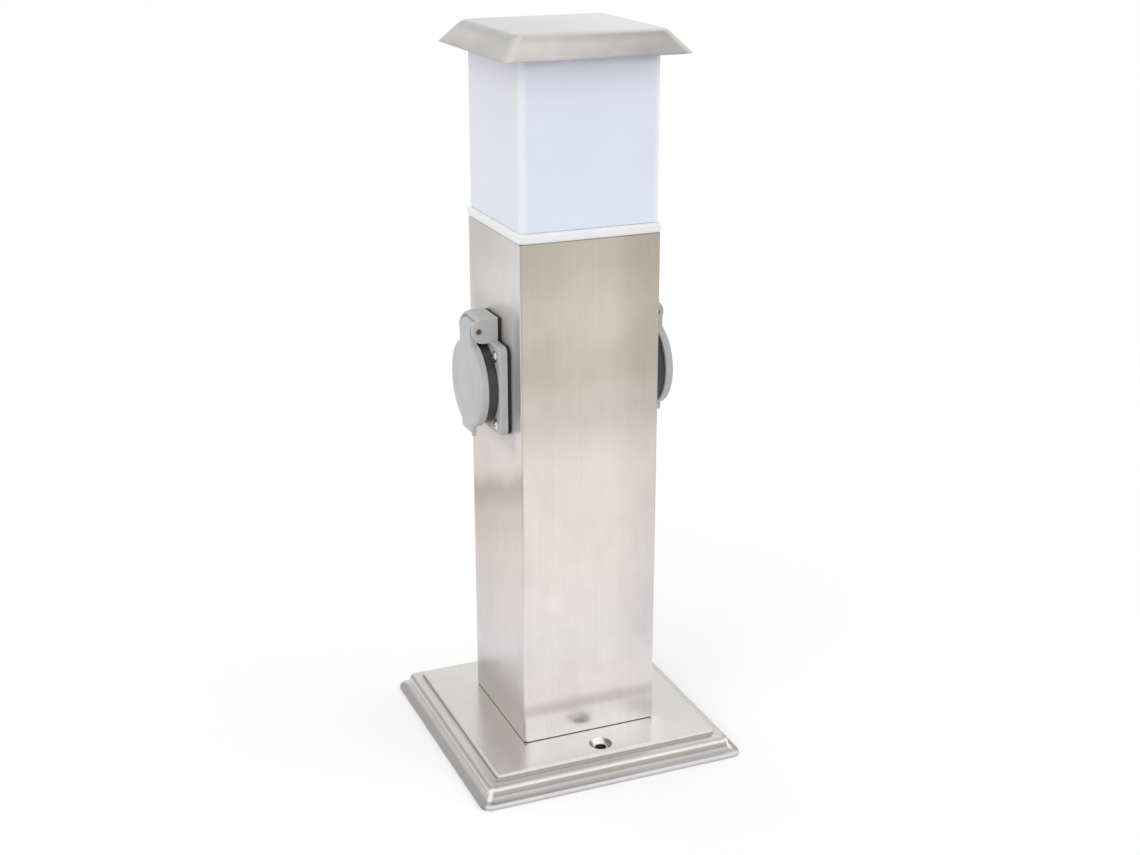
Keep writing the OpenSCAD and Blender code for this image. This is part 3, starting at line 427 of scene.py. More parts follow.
# Opal lamp tube: milky and slightly cold, with painted highlights at its round corners and painted shade
# under the cap
opalSet = {
    # painted shade under the cap, with the front tinted apart from the side as painted light
    "front": (
        (0.308, (226, 235, 250)), (0.344, (227, 232, 247)), (0.372, (229, 232, 246)),
        (0.385, (230, 232, 246)), (0.391, (231, 233, 246)), (0.397, (204, 205, 211)),
    ),
    "side": (
        (0.308, (231, 233, 243)), (0.379, (231, 231, 240)), (0.390, (230, 230, 238)),
        (0.397, (214, 213, 217)),
    ),
    "fold": (-0.0004, 0.0004), "wander": 0.008,
    # painted highlight down the round corners
    "corner": screen(243, 247, 254), "cornerShare": 0.8, "cornerAt": (0.0345, 0.0384),
    "noises": {"cloud": ((22.0, 22.0, 14.0), 2.0, 0.5), "speck": ((900.0, 900.0, 900.0), 2.0, 0.5)},
    "level": {"cloud": 0.06}, "rough": 0.30, "cloudRough": 0.12, "bump": (0.03, 0.0002),
    "fixed": {"Subsurface Weight": 0.15, "Subsurface Radius": (0.004, 0.004, 0.005), "IOR": 1.49},
}


def buildOpal(wire):
    s = opalSet
    fields = noises(wire, s["noises"])
    x, y, z = fromMiddle(wire)
    wander = z + sway(fields["cloud"], s["wander"])
    # front and side tone runs, with painted shade under the cap
    colour = mixColour(band(x - y, *s["fold"]), tones(wander, s["front"]), tones(wander, s["side"]))
    # painted highlight down the round corners
    corner = band(wire.math("MINIMUM", x, y), *s["cornerAt"])
    colour = mixColour(corner * s["cornerShare"], colour, s["corner"])
    colour = toned(colour, swayed(1.0, fields, s["level"]))
    return skin(colour, s["rough"] + fields["cloud"] * s["cloudRough"], fields["speck"], s["bump"])


# Plain plastics and rubber: light colour, dark colour, roughness, scale and depth of the grain, IOR
plastics = {
    "whitePlastic": ((0.890, 0.890, 0.900), (0.850, 0.850, 0.862), 0.32, 1400.0, 0.03, 1.49),
    "greyPlastic": ((0.540, 0.542, 0.545), (0.488, 0.491, 0.495), 0.46, 1600.0, 0.10, 1.46),
    "blackPlastic": ((0.054, 0.053, 0.058), (0.036, 0.036, 0.040), 0.30, 1500.0, 0.06, 1.46),
    "blackRubber": ((0.016, 0.016, 0.018), (0.010, 0.010, 0.012), 0.66, 1200.0, 0.12, 1.45),
    "opalGlass": ((0.880, 0.880, 0.860), (0.830, 0.830, 0.815), 0.20, 600.0, 0.02, 1.5),
}

# Small metal pieces: light colour, dark colour, roughness, scale of the grain
metals = {
    "zincSteel": ((0.640, 0.650, 0.660), (0.540, 0.550, 0.565), 0.36, 500.0),
    "brightMetal": ((0.700, 0.700, 0.710), (0.600, 0.600, 0.610), 0.20, 900.0),
    "springSteel": ((0.600, 0.610, 0.620), (0.480, 0.490, 0.500), 0.26, 1200.0),
    # a darker brass, for the hinge pins
    "agedBrass": ((0.170, 0.120, 0.055), (0.085, 0.062, 0.034), 0.38, 900.0),
    "brass": ((0.700, 0.520, 0.230), (0.520, 0.370, 0.150), 0.28, 800.0),
}

# The change from dark to light follows worn, and depth is how deep the metals' grain is
plasticSet = {
    "grain": (3.0, 0.6), "cloud": ((45.0, 45.0, 45.0), 4.0, 0.6), "change": (0.35, 0.65),
    "worn": {"cloud": 1.0, "grain": 0.0}, "uneven": {"cloud": 0.16, "grain": 0.10}, "bumpDistance": 0.0003,
}
metalSet = {
    **plasticSet, "cloud": ((70.0, 70.0, 70.0), 4.0, 0.6), "worn": {"cloud": 0.7, "grain": 0.3},
    "uneven": {"grain": 0.14, "cloud": 0.10}, "depth": 0.05,
}


def plainBuilder(s, light, dark, rough, scale, depth):
    def build(wire):
        fields = noises(wire, {"grain": ((scale, scale, scale), *s["grain"]), "cloud": s["cloud"]})
        colour = mixColour(band(weighed(fields, s["worn"]), *s["change"]), dark, light)
        return skin(colour, swayed(rough, fields, s["uneven"]), fields["grain"], (depth, s["bumpDistance"]))
    return build


metal = {"Metallic": 1.0}
finishes = {"opalPlastic": makeMaterial("opalPlastic", opalSet["fixed"], buildOpal)}
steels = {"postSteel": buildPostSteel, "baseSteel": buildBaseSteel, "capSteel": buildCapSteel}
for name, build in steels.items():
    finishes[name] = makeMaterial(name, metal, build)
for name, (*look, ior) in plastics.items():
    finishes[name] = makeMaterial(name, {"IOR": ior}, plainBuilder(plasticSet, *look))
for name, look in metals.items():
    finishes[name] = makeMaterial(name, metal, plainBuilder(metalSet, *look, metalSet["depth"]))

# The finish of each of the part's slots; the cap and the hinge pins have their own
slotFinish = {
    "pressed_stainless": "baseSteel", "brushed_stainless": "postSteel", "zinc_steel": "zincSteel",
    "bright_metal": "brightMetal", "spring_steel": "springSteel", "brass": "brass",
    "grey_plastic": "greyPlastic", "black_plastic": "blackPlastic", "white_plastic": "whitePlastic",
    "opal_plastic": "opalPlastic", "opal_glass": "opalGlass", "black_rubber": "blackRubber",
}
print("stage: materials,", len(finishes))


# Modelling helpers
def clearSelection():
    if bpy.context.object and bpy.context.object.mode != "OBJECT":
        bpy.ops.object.mode_set(mode="OBJECT")
    bpy.ops.object.select_all(action="DESELECT")


def makeActive(piece):
    clearSelection()
    piece.select_set(True)
    bpy.context.view_layer.objects.active = piece


def named(name):
    piece = bpy.context.object
    piece.name = name
    piece.data.name = name
    return piece


def copyPiece(piece):
    copy = piece.copy()
    copy.data = piece.data.copy()
    bpy.context.scene.collection.objects.link(copy)
    return copy


def applyPlace(piece):
    makeActive(piece)
    bpy.ops.object.transform_apply(location=True, rotation=True, scale=True)
    return piece


def applyModifier(piece, kind, **settings):
    makeActive(piece)
    modifier = piece.modifiers.new(kind.lower(), kind)
    for name, value in settings.items():
        setattr(modifier, name, value)
    bpy.ops.object.modifier_apply(modifier=modifier.name)


# Gives an open sheet its thickness, inwards
def thicken(piece, wall):
    applyModifier(piece, "SOLIDIFY", thickness=wall * mm, offset=-1.0, use_even_offset=True)


def combine(piece, other, operation):
    applyModifier(piece, "BOOLEAN", operation=operation, solver="EXACT", object=other)
    bpy.data.objects.remove(other)


def cut(piece, tool):
    combine(piece, tool, "DIFFERENCE")


def unite(piece, form):
    combine(piece, form, "UNION")


sheetAngle, mouldedAngle, roundAngle = 40.0, 32.0, 50.0     # degrees; flatter edges are smooth


def smoothByAngle(piece, degrees, weighted=True):
    makeActive(piece)
    bpy.ops.object.shade_smooth_by_angle(angle=math.radians(degrees))
    for modifier in list(piece.modifiers):
        bpy.ops.object.modifier_apply(modifier=modifier.name)
    if weighted:
        applyModifier(piece, "WEIGHTED_NORMAL", keep_sharp=True, weight=80)
    return piece


# Merges doubles and turns the faces outwards
def turnOut(piece):
    makeActive(piece)
    bpy.ops.object.mode_set(mode="EDIT")
    bpy.ops.mesh.select_all(action="SELECT")
    bpy.ops.mesh.remove_doubles(threshold=nearly)
    bpy.ops.mesh.normals_make_consistent(inside=False)
    bpy.ops.object.mode_set(mode="OBJECT")
    return piece


# Selects the edges that a test picks, in edit mode
def selectEdges(piece, pick):
    bpy.ops.mesh.select_all(action="DESELECT")
    bpy.ops.mesh.select_mode(type="EDGE")
    mesh = bmesh.from_edit_mesh(piece.data)
    for e in mesh.edges:
        if pick(e):
            e.select_set(True)
    bmesh.update_edit_mesh(piece.data)


def arcPoints(cx, cy, r, first, last, count):
    turns = [math.radians(first + (last - first) * i / count) for i in range(count + 1)]
    return [(cx + r * math.cos(turn), cy + r * math.sin(turn)) for turn in turns]


def aroundAxis(v):
    return math.atan2(v.co.y, v.co.x) % (2 * math.pi)


corners = ((-1, -1), (-1, 1), (1, -1), (1, 1))
cornersInTurn = ((1, 1), (-1, 1), (-1, -1), (1, -1))
cornerSteps = 7


def squareRing(half, radius, z):
    points = []
    for corner, (sx, sy) in enumerate(cornersInTurn):
        for step in range(cornerSteps + 1):
            turn = math.pi / 2 * (corner + step / cornerSteps)
            points.append(Vector((sx * (half - radius) + radius * math.cos(turn),
                                  sy * (half - radius) + radius * math.sin(turn), z)) * mm)
    return points


# Extrudes a square ring through levels of (half width, corner radius, height); a closed form joins the last
# level to the first, and an open one is covered at the last
def loftSquare(name, levels, closed):
    clearSelection()
    bpy.ops.mesh.primitive_circle_add(vertices=4 * (cornerSteps + 1), radius=levels[0][0] * mm)
    piece = named(name)
    bpy.ops.object.mode_set(mode="EDIT")
    bpy.ops.mesh.select_all(action="SELECT")
    for count, level in enumerate(levels):
        if count:
            bpy.ops.mesh.extrude_edges_move()
        mesh = bmesh.from_edit_mesh(piece.data)
        ring = sorted((v for v in mesh.verts if v.select), key=aroundAxis)
        for v, place in zip(ring, squareRing(*level)):
            v.co = place
        bmesh.update_edit_mesh(piece.data)
    if closed:
        selectEdges(piece, lambda e: e.is_boundary)
        bpy.ops.mesh.bridge_edge_loops()
        bpy.ops.mesh.select_mode(type="VERT")
    else:
        bpy.ops.mesh.edge_face_add()
    return turnOut(piece)


# Square tube with softened outer rims
def squareTube(name, size, low, high):
    half, corner, wall, rim = (size[n] for n in ("half", "corner", "wall", "rim"))
    levels = [
        (half - rim, corner - rim, low), (half, corner, low + rim),
        (half, corner, high - rim), (half - rim, corner - rim, high),
        (half - wall, corner - wall, high), (half - wall, corner - wall, low),
    ]
    return loftSquare(name, levels, True)


# Draws an outline of (x, y) points as one face, and extrudes it from z to z + depth
def prism(name, outline, z, depth):
    clearSelection()
    bpy.ops.mesh.primitive_circle_add(vertices=len(outline), radius=mm, fill_type="NGON")
    piece = named(name)
    for v, (x, y) in zip(piece.data.vertices, outline):
        v.co = Vector((x, y, z)) * mm
    bpy.ops.object.mode_set(mode="EDIT")
    bpy.ops.mesh.select_all(action="SELECT")
    bpy.ops.mesh.extrude_region_move(TRANSFORM_OT_translate={"value": (0.0, 0.0, depth * mm)})
    return turnOut(piece)


# Spins a profile of (radius, z) points about Z; edges on the axis go first
def lathe(name, profile, steps):
    clearSelection()
    bpy.ops.mesh.primitive_circle_add(vertices=len(profile), radius=mm)
    piece = named(name)
    for v, (r, z) in zip(piece.data.vertices, profile):
        v.co = Vector((r, 0.0, z)) * mm
    bpy.ops.object.mode_set(mode="EDIT")
    selectEdges(piece, lambda e: all(abs(v.co.x) < nearly for v in e.verts))
    bpy.ops.mesh.delete(type="EDGE")
    bpy.ops.mesh.select_mode(type="VERT")
    bpy.ops.mesh.select_all(action="SELECT")
    bpy.ops.mesh.spin(steps=steps, angle=2 * math.pi, center=(0, 0, 0), axis=(0, 0, 1))
    return turnOut(piece)


def rod(name, radius, length, place, sides, axis="Z"):
    clearSelection()
    turn = (0.0, math.pi / 2, 0.0) if axis == "X" else (0.0, 0.0, 0.0)
    bpy.ops.mesh.primitive_cylinder_add(vertices=sides, radius=radius * mm, depth=length * mm,
                                        location=Vector(place) * mm, rotation=turn)
    return applyPlace(named(name))


def block(name, low, high):
    clearSelection()
    low, high = Vector(low) * mm, Vector(high) * mm
    bpy.ops.mesh.primitive_cube_add(size=1.0, location=(low + high) / 2, scale=high - low)
    return applyPlace(named(name))


def bevelEdges(piece, width, segments, pick):
    makeActive(piece)
    bpy.ops.object.mode_set(mode="EDIT")
    selectEdges(piece, pick)
    bpy.ops.mesh.bevel(offset=width * mm, segments=segments, profile=0.5, clamp_overlap=True)
    bpy.ops.mesh.select_mode(type="VERT")
    bpy.ops.object.mode_set(mode="OBJECT")


def joinPieces(pieces):
    clearSelection()
    for piece in pieces:
        piece.select_set(True)
    bpy.context.view_layer.objects.active = pieces[0]
    bpy.ops.object.join()
    return pieces[0]


def paint(piece, finish):
    piece.data.materials.clear()
    piece.data.materials.append(finishes[finish])


def coat(piece, slot, node, finish=None):
    paint(piece, finish or slotFinish[slot])
    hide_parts(node)


def dress(piece, body, slot, node, finish=None):
    coat(piece, slot, node, finish)
    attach(piece, body)


# Pressed base: rim, hollow cove, round shoulder, ledge, step and flat top, with two dimpled fixing holes.
# Sizes are in millimetres here and in the pieces below.
base = {
    "width": 158.0, "wall": 1.0, "rimHeight": 2.8, "rimRound": 1.2, "coveRun": 4.0, "coveRise": 4.6,
    "shoulder": 2.8, "ledge": 4.2, "stepFoot": 0.8, "step": 3.2, "stepRound": 1.5,
    "cornerLow": 6.0, "cornerHigh": 2.0, "arcSteps": 6, "footSteps": 3,
    "holeAt": 56.0, "holeRadius": 3.25, "neck": 1.5, "neckTop": 0.2,
    "dimpleRadius": 6.0, "dimpleDepth": 2.4, "lip": 1.1, "lipTurn": (90, 155), "lipSteps": 5, "underLip": 0.9,
    "inletRadius": 9.0, "screwAt": 32.375, "screwRadius": 2.7, "cutDepth": 8.0, "sides": 64,
}
baseTop = base["rimHeight"] + base["coveRise"] + base["shoulder"] + base["step"]


def baseLevels():
    b, n = base, base["arcSteps"]
    outer = b["width"] / 2
    edge = outer - b["rimRound"]
    shoulder = edge - b["coveRun"]
    step = shoulder - b["shoulder"] - b["ledge"]
    inner = step - b["stepRound"]
    ledgeZ = baseTop - b["step"]
    foot = b["stepFoot"]
    profile = [(outer, 0.0)]
    profile += arcPoints(edge, b["rimHeight"] - b["rimRound"], b["rimRound"], 0, 90, n)
    for i in range(1, n + 1):
        turn = math.radians(90 * i / n)
        rise = b["coveRise"] * (1 - math.cos(turn))
        profile.append((edge - b["coveRun"] * math.sin(turn), b["rimHeight"] + rise))
    profile += arcPoints(shoulder - b["shoulder"], ledgeZ - b["shoulder"], b["shoulder"], 0, 90, n)[1:]
    profile += arcPoints(step + foot, ledgeZ + foot, foot, 270, 180, b["footSteps"])
    profile += arcPoints(inner, baseTop - b["stepRound"], b["stepRound"], 0, 90, n)
    levels = []
    for half, z in profile:
        share = (half - inner) / (outer - inner)
        levels.append((half, b["cornerHigh"] + (b["cornerLow"] - b["cornerHigh"]) * share, z))
    return levels


def dimpleProfile(lipRadius):
    b = base
    low, under = baseTop - b["dimpleDepth"], baseTop - b["wall"]
    hole, outer = b["holeRadius"], b["holeRadius"] + b["wall"]
    profile = arcPoints(lipRadius, baseTop - b["lip"], b["lip"], *b["lipTurn"], b["lipSteps"])
    profile += [(hole, low), (hole, low - b["neck"]), (outer, low - b["neck"]), (outer, low - b["neckTop"]),
                (b["dimpleRadius"] + b["wall"], under - b["underLip"]), (lipRadius, under)]
    return profile


def buildBase():
    b = base
    piece = loftSquare("baseCover", baseLevels(), False)
    thicken(piece, b["wall"])
    at, lipRadius = b["screwAt"], b["dimpleRadius"] + b["lip"]
    holes = [(0.0, 0.0, b["inletRadius"])]
    holes += [(sx * at, sy * at, b["screwRadius"]) for sx, sy in corners]
    holes += [(0.0, sy * b["holeAt"], lipRadius) for sy in (-1, 1)]
    for x, y, r in holes:
        cut(piece, rod("hole", r, b["cutDepth"], (x, y, baseTop), b["sides"]))
    dimples = []
    for sy in (-1, 1):
        dimple = lathe("dimple", dimpleProfile(lipRadius), b["sides"])
        dimple.location = (0.0, sy * b["holeAt"] * mm, 0.0)
        applyPlace(dimple)
        dimples.append(dimple)
    piece = joinPieces([piece] + dimples)
    smoothByAngle(piece, sheetAngle)
    dress(piece, "post", "pressed_stainless", "base_cover")


buildBase()
print("stage: base")

# Square post: folded sheet with a hair of gap above the base and small notches at its foot corners
post = {
    "half": 40.0, "corner": 1.5, "wall": 1.0, "rim": 0.25, "gap": 0.35, "top": 302.4,
    "outletZ": 219.0, "outletHole": 21.3, "outletCut": 120.0, "outletSides": 64,
    "notch": 1.1, "notchIn": 0.4, "notchCut": 2.2, "notchSides": 12,
}


def buildPost():
    p = post
    low, at = baseTop + p["gap"], p["half"] - p["notchIn"]
    piece = squareTube("postTube", p, low, p["top"])
    middle = (0.0, 0.0, p["outletZ"])
    cut(piece, rod("outletCut", p["outletHole"], p["outletCut"], middle, p["outletSides"], "X"))
    for sx, sy in corners:
        cut(piece, rod("notchCut", p["notch"], p["notchCut"], (sx * at, sy * at, low), p["notchSides"]))
    smoothByAngle(piece, sheetAngle)
    dress(piece, "post", "brushed_stainless", "post_tube")


buildPost()
print("stage: post")

# White collar: rounded bead on the post, skirt and flange inside it, spigot inside the lamp tube
collar = {
    "half": 41.0, "corner": 4.0, "round": 1.9, "roundSteps": 6, "low": 302.4, "high": 307.9,
    "skirt": 38.8, "skirtIn": 36.8, "skirtFoot": 292.4, "flangeTop": 294.9, "opening": 28.8,
    "spigot": 36.8, "spigotIn": 34.8, "spigotTop": 316.9, "cornerOut": 2.0, "cornerIn": 1.5,
}


def buildCollar():
    c = collar
    flat, r, n = c["half"] - c["round"], c["round"], c["roundSteps"]
    bead = arcPoints(flat, c["low"] + r, r, -90, 0, n) + arcPoints(flat, c["high"] - r, r, 0, 90, n)
    inside = ((c["spigotIn"], c["spigotTop"]), (c["spigotIn"], c["low"]), (c["skirtIn"], c["low"]),
              (c["skirtIn"], c["flangeTop"]), (c["opening"], c["flangeTop"]), (c["opening"], c["skirtFoot"]))
    levels = [(c["skirt"], c["cornerOut"], z) for z in (c["skirtFoot"], c["low"])]
    levels += [(half, c["corner"] - (c["half"] - half), z) for half, z in bead]
    levels += [(c["spigot"], c["cornerOut"], z) for z in (c["high"], c["spigotTop"])]
    levels += [(half, c["cornerIn"], z) for half, z in inside]
    piece = loftSquare("lampCollar", levels, True)
    smoothByAngle(piece, sheetAngle)
    dress(piece, "post", "white_plastic", "lamp_collar")


buildCollar()

# Opal tube with soft corners and rims
tube = {"half": 39.5, "corner": 4.0, "wall": 2.5, "rim": 0.5, "low": 307.9, "high": 402.9}


def buildDiffuser():
    piece = squareTube("lampTube", tube, tube["low"], tube["high"])
    smoothByAngle(piece, roundAngle)
    dress(piece, "post", "opal_plastic", "diffuser")


buildDiffuser()

# Pressed hip cap: thin rim, straight hips with broad round corners, soft turn into the flat top, four studs
capSet = {
    "rimHalf": 52.0, "rimZ": 396.3, "rimEdge": 0.25, "rimCorner": 0.2, "topHalf": 41.75, "topZ": 408.5,
    "corner": 5.0, "turn": 2.8, "turnSteps": 7, "wall": 1.0,
    "studAt": 30.6, "studRadius": 2.0, "studFoot": 397.9, "studEdge": 0.4, "softSteps": 2, "studSides": 24,
}


def capLevels():
    c = capSet
    rim = Vector((c["rimHalf"], c["rimZ"]))
    bend = Vector((c["topHalf"], c["topZ"]))
    start = bend + (rim - bend).normalized() * c["turn"]
    end = bend - Vector((c["turn"], 0.0))
    levels = [(rim.x - c["rimEdge"], c["corner"] - c["rimCorner"], rim.y),
              (rim.x, c["corner"], rim.y + c["rimEdge"])]
    for i in range(c["turnSteps"] + 1):
        t = i / c["turnSteps"]
        at = start * (1 - t) ** 2 + bend * 2 * t * (1 - t) + end * t ** 2
        levels.append((at.x, c["corner"], at.y))
    return levels


def buildCap():
    c = capSet
    piece = loftSquare("capShell", capLevels(), False)
    thicken(piece, c["wall"])
    at, foot, high = c["studAt"], c["studFoot"], c["topZ"] - c["wall"] / 2
    lowest = foot * mm + nearly
    studs = []
    for sx, sy in corners:
        middle = (sx * at, sy * at, (high + foot) / 2)
        stud = rod("stud", c["studRadius"], high - foot, middle, c["studSides"])
        bevelEdges(stud, c["studEdge"], c["softSteps"], lambda e: all(v.co.z < lowest for v in e.verts))
        studs.append(stud)
    piece = joinPieces([piece] + studs)
    smoothByAngle(piece, sheetAngle)
    dress(piece, "post", "pressed_stainless", "cap", "capSteel")


buildCap()
print("stage: lamp and cap")

# Outlet plate with its hinge block. Outlet pieces are modelled once in the face's own axes: x along the face,
# y up, z outwards
outlet = {
    "gasket": 2.0, "plateHalf": 25.0, "plateFront": 6.5, "plateCorner": 4.0, "plateEdge": 0.9, "edgeSteps": 3,
    "bore": 21.1, "boreSides": 96, "screwAt": 19.0, "screwHole": 1.7, "screwSides": 24,
    "cutDepth": 12.0, "cutBack": 2.0,
    "hingeUp": 31.0, "hingeOut": 12.6, "hingeHalf": 10.75,
    "earRadius": 7.0, "earMid": 9.7, "earSteps": 20, "earEdge": 0.7,
    "pocketHalf": 8.75, "pocketRadius": 5.2, "pocketSteps": 10, "pocketFront": 30.0, "pocketSpare": 2.0,
    "roofFront": 13.4, "roofSpare": 0.1,
    "pinHole": 1.8, "pinRecess": 0.8, "pinBore": 1.53, "pinCut": 40.0, "pinSides": 32,
}
faces = ((-1, "left"), (1, "right"))
fixedBodies = {"left": "post", "right": "post"}
lidBodies = {"left": "left_flap", "right": "right_flap"}


def faceMatrix(side):
    columns = ((0, side, 0), (0, 0, 1), (side, 0, 0))
    turn = Matrix(columns).transposed().to_4x4()
    return Matrix.Translation((side * post["half"] * mm, 0.0, post["outletZ"] * mm)) @ turn


def copyToFace(piece, side, word):
    copy = copyPiece(piece)
    copy.name = word + piece.name[0].upper() + piece.name[1:]
    copy.data.name = copy.name
    copy.data.transform(faceMatrix(side))
    return copy


def placeOnFaces(piece, bodies, slot, nodeName):
    for side, word in faces:
        dress(copyToFace(piece, side, word), bodies[word], slot, word + "_" + nodeName)
    bpy.data.objects.remove(piece)


# A hinge drawing of (outwards, up) points is laid across the face
def hingePrism(name, outline, halfWidth):
    piece = prism(name, [(up, out) for out, up in outline], -halfWidth, 2 * halfWidth)
    piece.data.transform(Matrix(((0, 0, 1, 0), (1, 0, 0, 0), (0, 1, 0, 0), (0, 0, 0, 1))))
    return turnOut(piece)


# Picks the edges that lie in both ends of a hinge form
def atEnds(halfWidth):
    limit = halfWidth * mm - nearly
    return lambda e: all(abs(v.co.x) > limit for v in e.verts)


def pinPlace(x=0.0):
    return (x, outlet["hingeUp"], outlet["hingeOut"])


def softSquare(half, corner, steps=8):
    points = []
    for turn, (sx, sy) in enumerate(cornersInTurn):
        cx, cy = sx * (half - corner), sy * (half - corner)
        points += arcPoints(cx, cy, corner, 90 * turn, 90 * turn + 90, steps)
    return points


# The ring's bore and the four screw holes, through plate and gasket alike
def boreFace(piece, bore, z):
    o, at = outlet, outlet["screwAt"]
    cut(piece, rod("bore", bore, o["cutDepth"], (0.0, 0.0, z), o["boreSides"]))
    for sx, sy in corners:
        cut(piece, rod("screwHole", o["screwHole"], o["cutDepth"], (sx * at, sy * at, z), o["screwSides"]))


def hingeBlock():
    o = outlet
    low, r, pocket, up, out = o["gasket"], o["earRadius"], o["pocketRadius"], o["hingeUp"], o["hingeOut"]
    outline = [(low, up - r)] + arcPoints(o["earMid"], up, r, -90, 90, o["earSteps"]) + [(low, up + r)]
    ears = hingePrism("ears", outline, o["hingeHalf"])
    ends, back = atEnds(o["hingeHalf"]), low * mm + nearly
    bevelEdges(ears, o["earEdge"], o["edgeSteps"], lambda e: ends(e) and any(v.co.z > back for v in e.verts))
    below, above = up - r - o["pocketSpare"], up + r + o["pocketSpare"]
    front, roof = o["pocketFront"], o["roofFront"]
    outline = [(out - pocket, below), (front, below), (front, above), (roof, above),
               (roof, up + pocket - o["roofSpare"])]
    outline += arcPoints(out, up, pocket, 90, 180, o["pocketSteps"])
    cut(ears, hingePrism("pocket", outline, o["pocketHalf"]))
    return ears


def buildPlate():
    o = outlet
    low, front = o["gasket"], o["plateFront"]
    plate = prism("plate", softSquare(o["plateHalf"], o["plateCorner"]), low, front - low)
    face = front * mm - nearly
    bevelEdges(plate, o["plateEdge"], o["edgeSteps"], lambda e: all(v.co.z > face for v in e.verts))
    unite(plate, hingeBlock())
    boreFace(plate, o["bore"], front - o["cutBack"])
    for sx in (-1, 1):
        at = pinPlace(sx * o["hingeHalf"])
        cut(plate, rod("pinRecess", o["pinHole"], 2 * o["pinRecess"], at, o["pinSides"], "X"))
    cut(plate, rod("pinBore", o["pinBore"], o["pinCut"], pinPlace(), o["pinSides"], "X"))
    return smoothByAngle(plate, mouldedAngle)


placeOnFaces(buildPlate(), fixedBodies, "grey_plastic", "plate")
print("stage: outlet plates")

# Rubber gasket: the plate's outline with its hinge block, a hair smaller, with a soft round edge
gasket = {"inset": 0.2, "edge": 0.5, "edgeSteps": 3, "bore": 21.2}


def buildGasket():
    g, o = gasket, outlet
    half, reach = o["plateHalf"] - g["inset"], o["hingeHalf"] - g["inset"]
    top = o["hingeUp"] + o["earRadius"] - g["inset"]
    rim = softSquare(half, o["plateCorner"])
    side = len(rim) // 4
    outline = rim[:side] + [(reach, half), (reach, top), (-reach, top), (-reach, half)] + rim[side:]
    piece = prism("gasket", outline, 0.0, o["gasket"])
    bevelEdges(piece, g["edge"], g["edgeSteps"], lambda e: abs(e.verts[0].co.z - e.verts[1].co.z) < nearly)
    boreFace(piece, g["bore"], 0.0)
    return smoothByAngle(piece, mouldedAngle)


placeOnFaces(buildGasket(), fixedBodies, "black_rubber", "gasket")
print("stage: gaskets")

# Lid: soft disc with a shallow ring, a wide tongue up to its knuckle, and a pull tab with a nub
lid = {
    "back": 12.2, "front": 17.2, "radius": 24.5, "sides": 96, "flatEnd": 5.0, "crown": 0.25,
    "edge": 1.5, "edgeTurn": 80, "edgeSteps": 7, "backEdge": 0.3, "softSteps": 2,
    "ringRadius": 13.0, "ringWidth": 0.9, "ringDepth": 0.32, "recess": 2.0, "recessRadius": 18.5,
    "sealIn": 19.5, "sealOut": 22.5, "sealDepth": 1.2,
    "knuckle": 4.6, "knuckleHalf": 8.45, "knuckleSteps": 30, "armBack": 13.0, "armLow": 20.5,
    "armSpare": 0.1, "armEdge": 0.5, "pinBore": 1.55, "pinCut": 30.0, "pinSides": 32,
    "springHalf": 4.225, "springRadius": 3.3, "springLeg": 7.0, "slotSpare": 1.0,
    "tabHalf": 8.8, "tabTop": 16.0, "tabFoot": 27.2, "tabCut": 0.8, "tabBack": 2.2, "tabFront": 0.7,
    "tabEdge": 0.4,
    "nubTop": 21.0, "nubFoot": 28.2, "nubWide": 1.6, "nubInset": 0.2, "nubBack": 2.6, "nubDepth": 1.8,
}


def lidProfile():
    s = lid
    front, back, r = s["front"], s["back"], s["radius"]
    ring, width, soft = s["ringRadius"], s["ringWidth"], s["backEdge"]
    seat, floor = back + s["sealDepth"], back + s["recess"]
    profile = [(0.0, front), (ring - width, front), (ring, front - s["ringDepth"]), (ring + width, front),
               (r - s["flatEnd"], front)]
    rise = front - s["crown"] - s["edge"]
    profile += arcPoints(r - s["edge"], rise, s["edge"], s["edgeTurn"], 0, s["edgeSteps"])
    profile += [(r, back + soft), (r - soft, back), (s["sealOut"], back), (s["sealOut"], seat),
                (s["sealIn"], seat), (s["sealIn"], back), (s["recessRadius"], back),
                (s["recessRadius"], floor), (0.0, floor)]
    return profile


def lidArm():
    s = lid
    up, out = outlet["hingeUp"], outlet["hingeOut"]
    outline = [(s["armBack"], s["armLow"]), (s["front"] - s["crown"], s["armLow"])]
    outline += arcPoints(out, up, s["knuckle"], 0, 270, s["knuckleSteps"])
    outline += [(s["armBack"], up - s["knuckle"] - s["armSpare"])]
    arm = hingePrism("arm", outline, s["knuckleHalf"])
    bevelEdges(arm, s["armEdge"], s["softSteps"], atEnds(s["knuckleHalf"]))
    return arm


def lidTab():
    s = lid
    top, foot, half, bite = -s["tabTop"], -s["tabFoot"], s["tabHalf"], s["tabCut"]
    outline = [(-half, top), (-half, foot + bite), (-half + bite, foot), (half - bite, foot),
               (half, foot + bite), (half, top)]
    depth = s["front"] - s["tabFront"] - s["back"] - s["tabBack"]
    tab = prism("tab", outline, s["back"] + s["tabBack"], depth)
    limit = (foot + bite) * mm + nearly
    bevelEdges(tab, s["tabEdge"], s["softSteps"], lambda e: all(v.co.y < limit for v in e.verts))
    return tab


def lidNub():
    s = lid
    inner, outer = s["tabHalf"] - s["nubWide"], s["tabHalf"] - s["nubInset"]
    top, foot = -s["nubTop"], -s["nubFoot"]
    outline = [(inner, top), (inner, foot), (outer, foot), (outer, top)]
    return prism("nub", outline, s["back"] + s["nubBack"], s["nubDepth"])


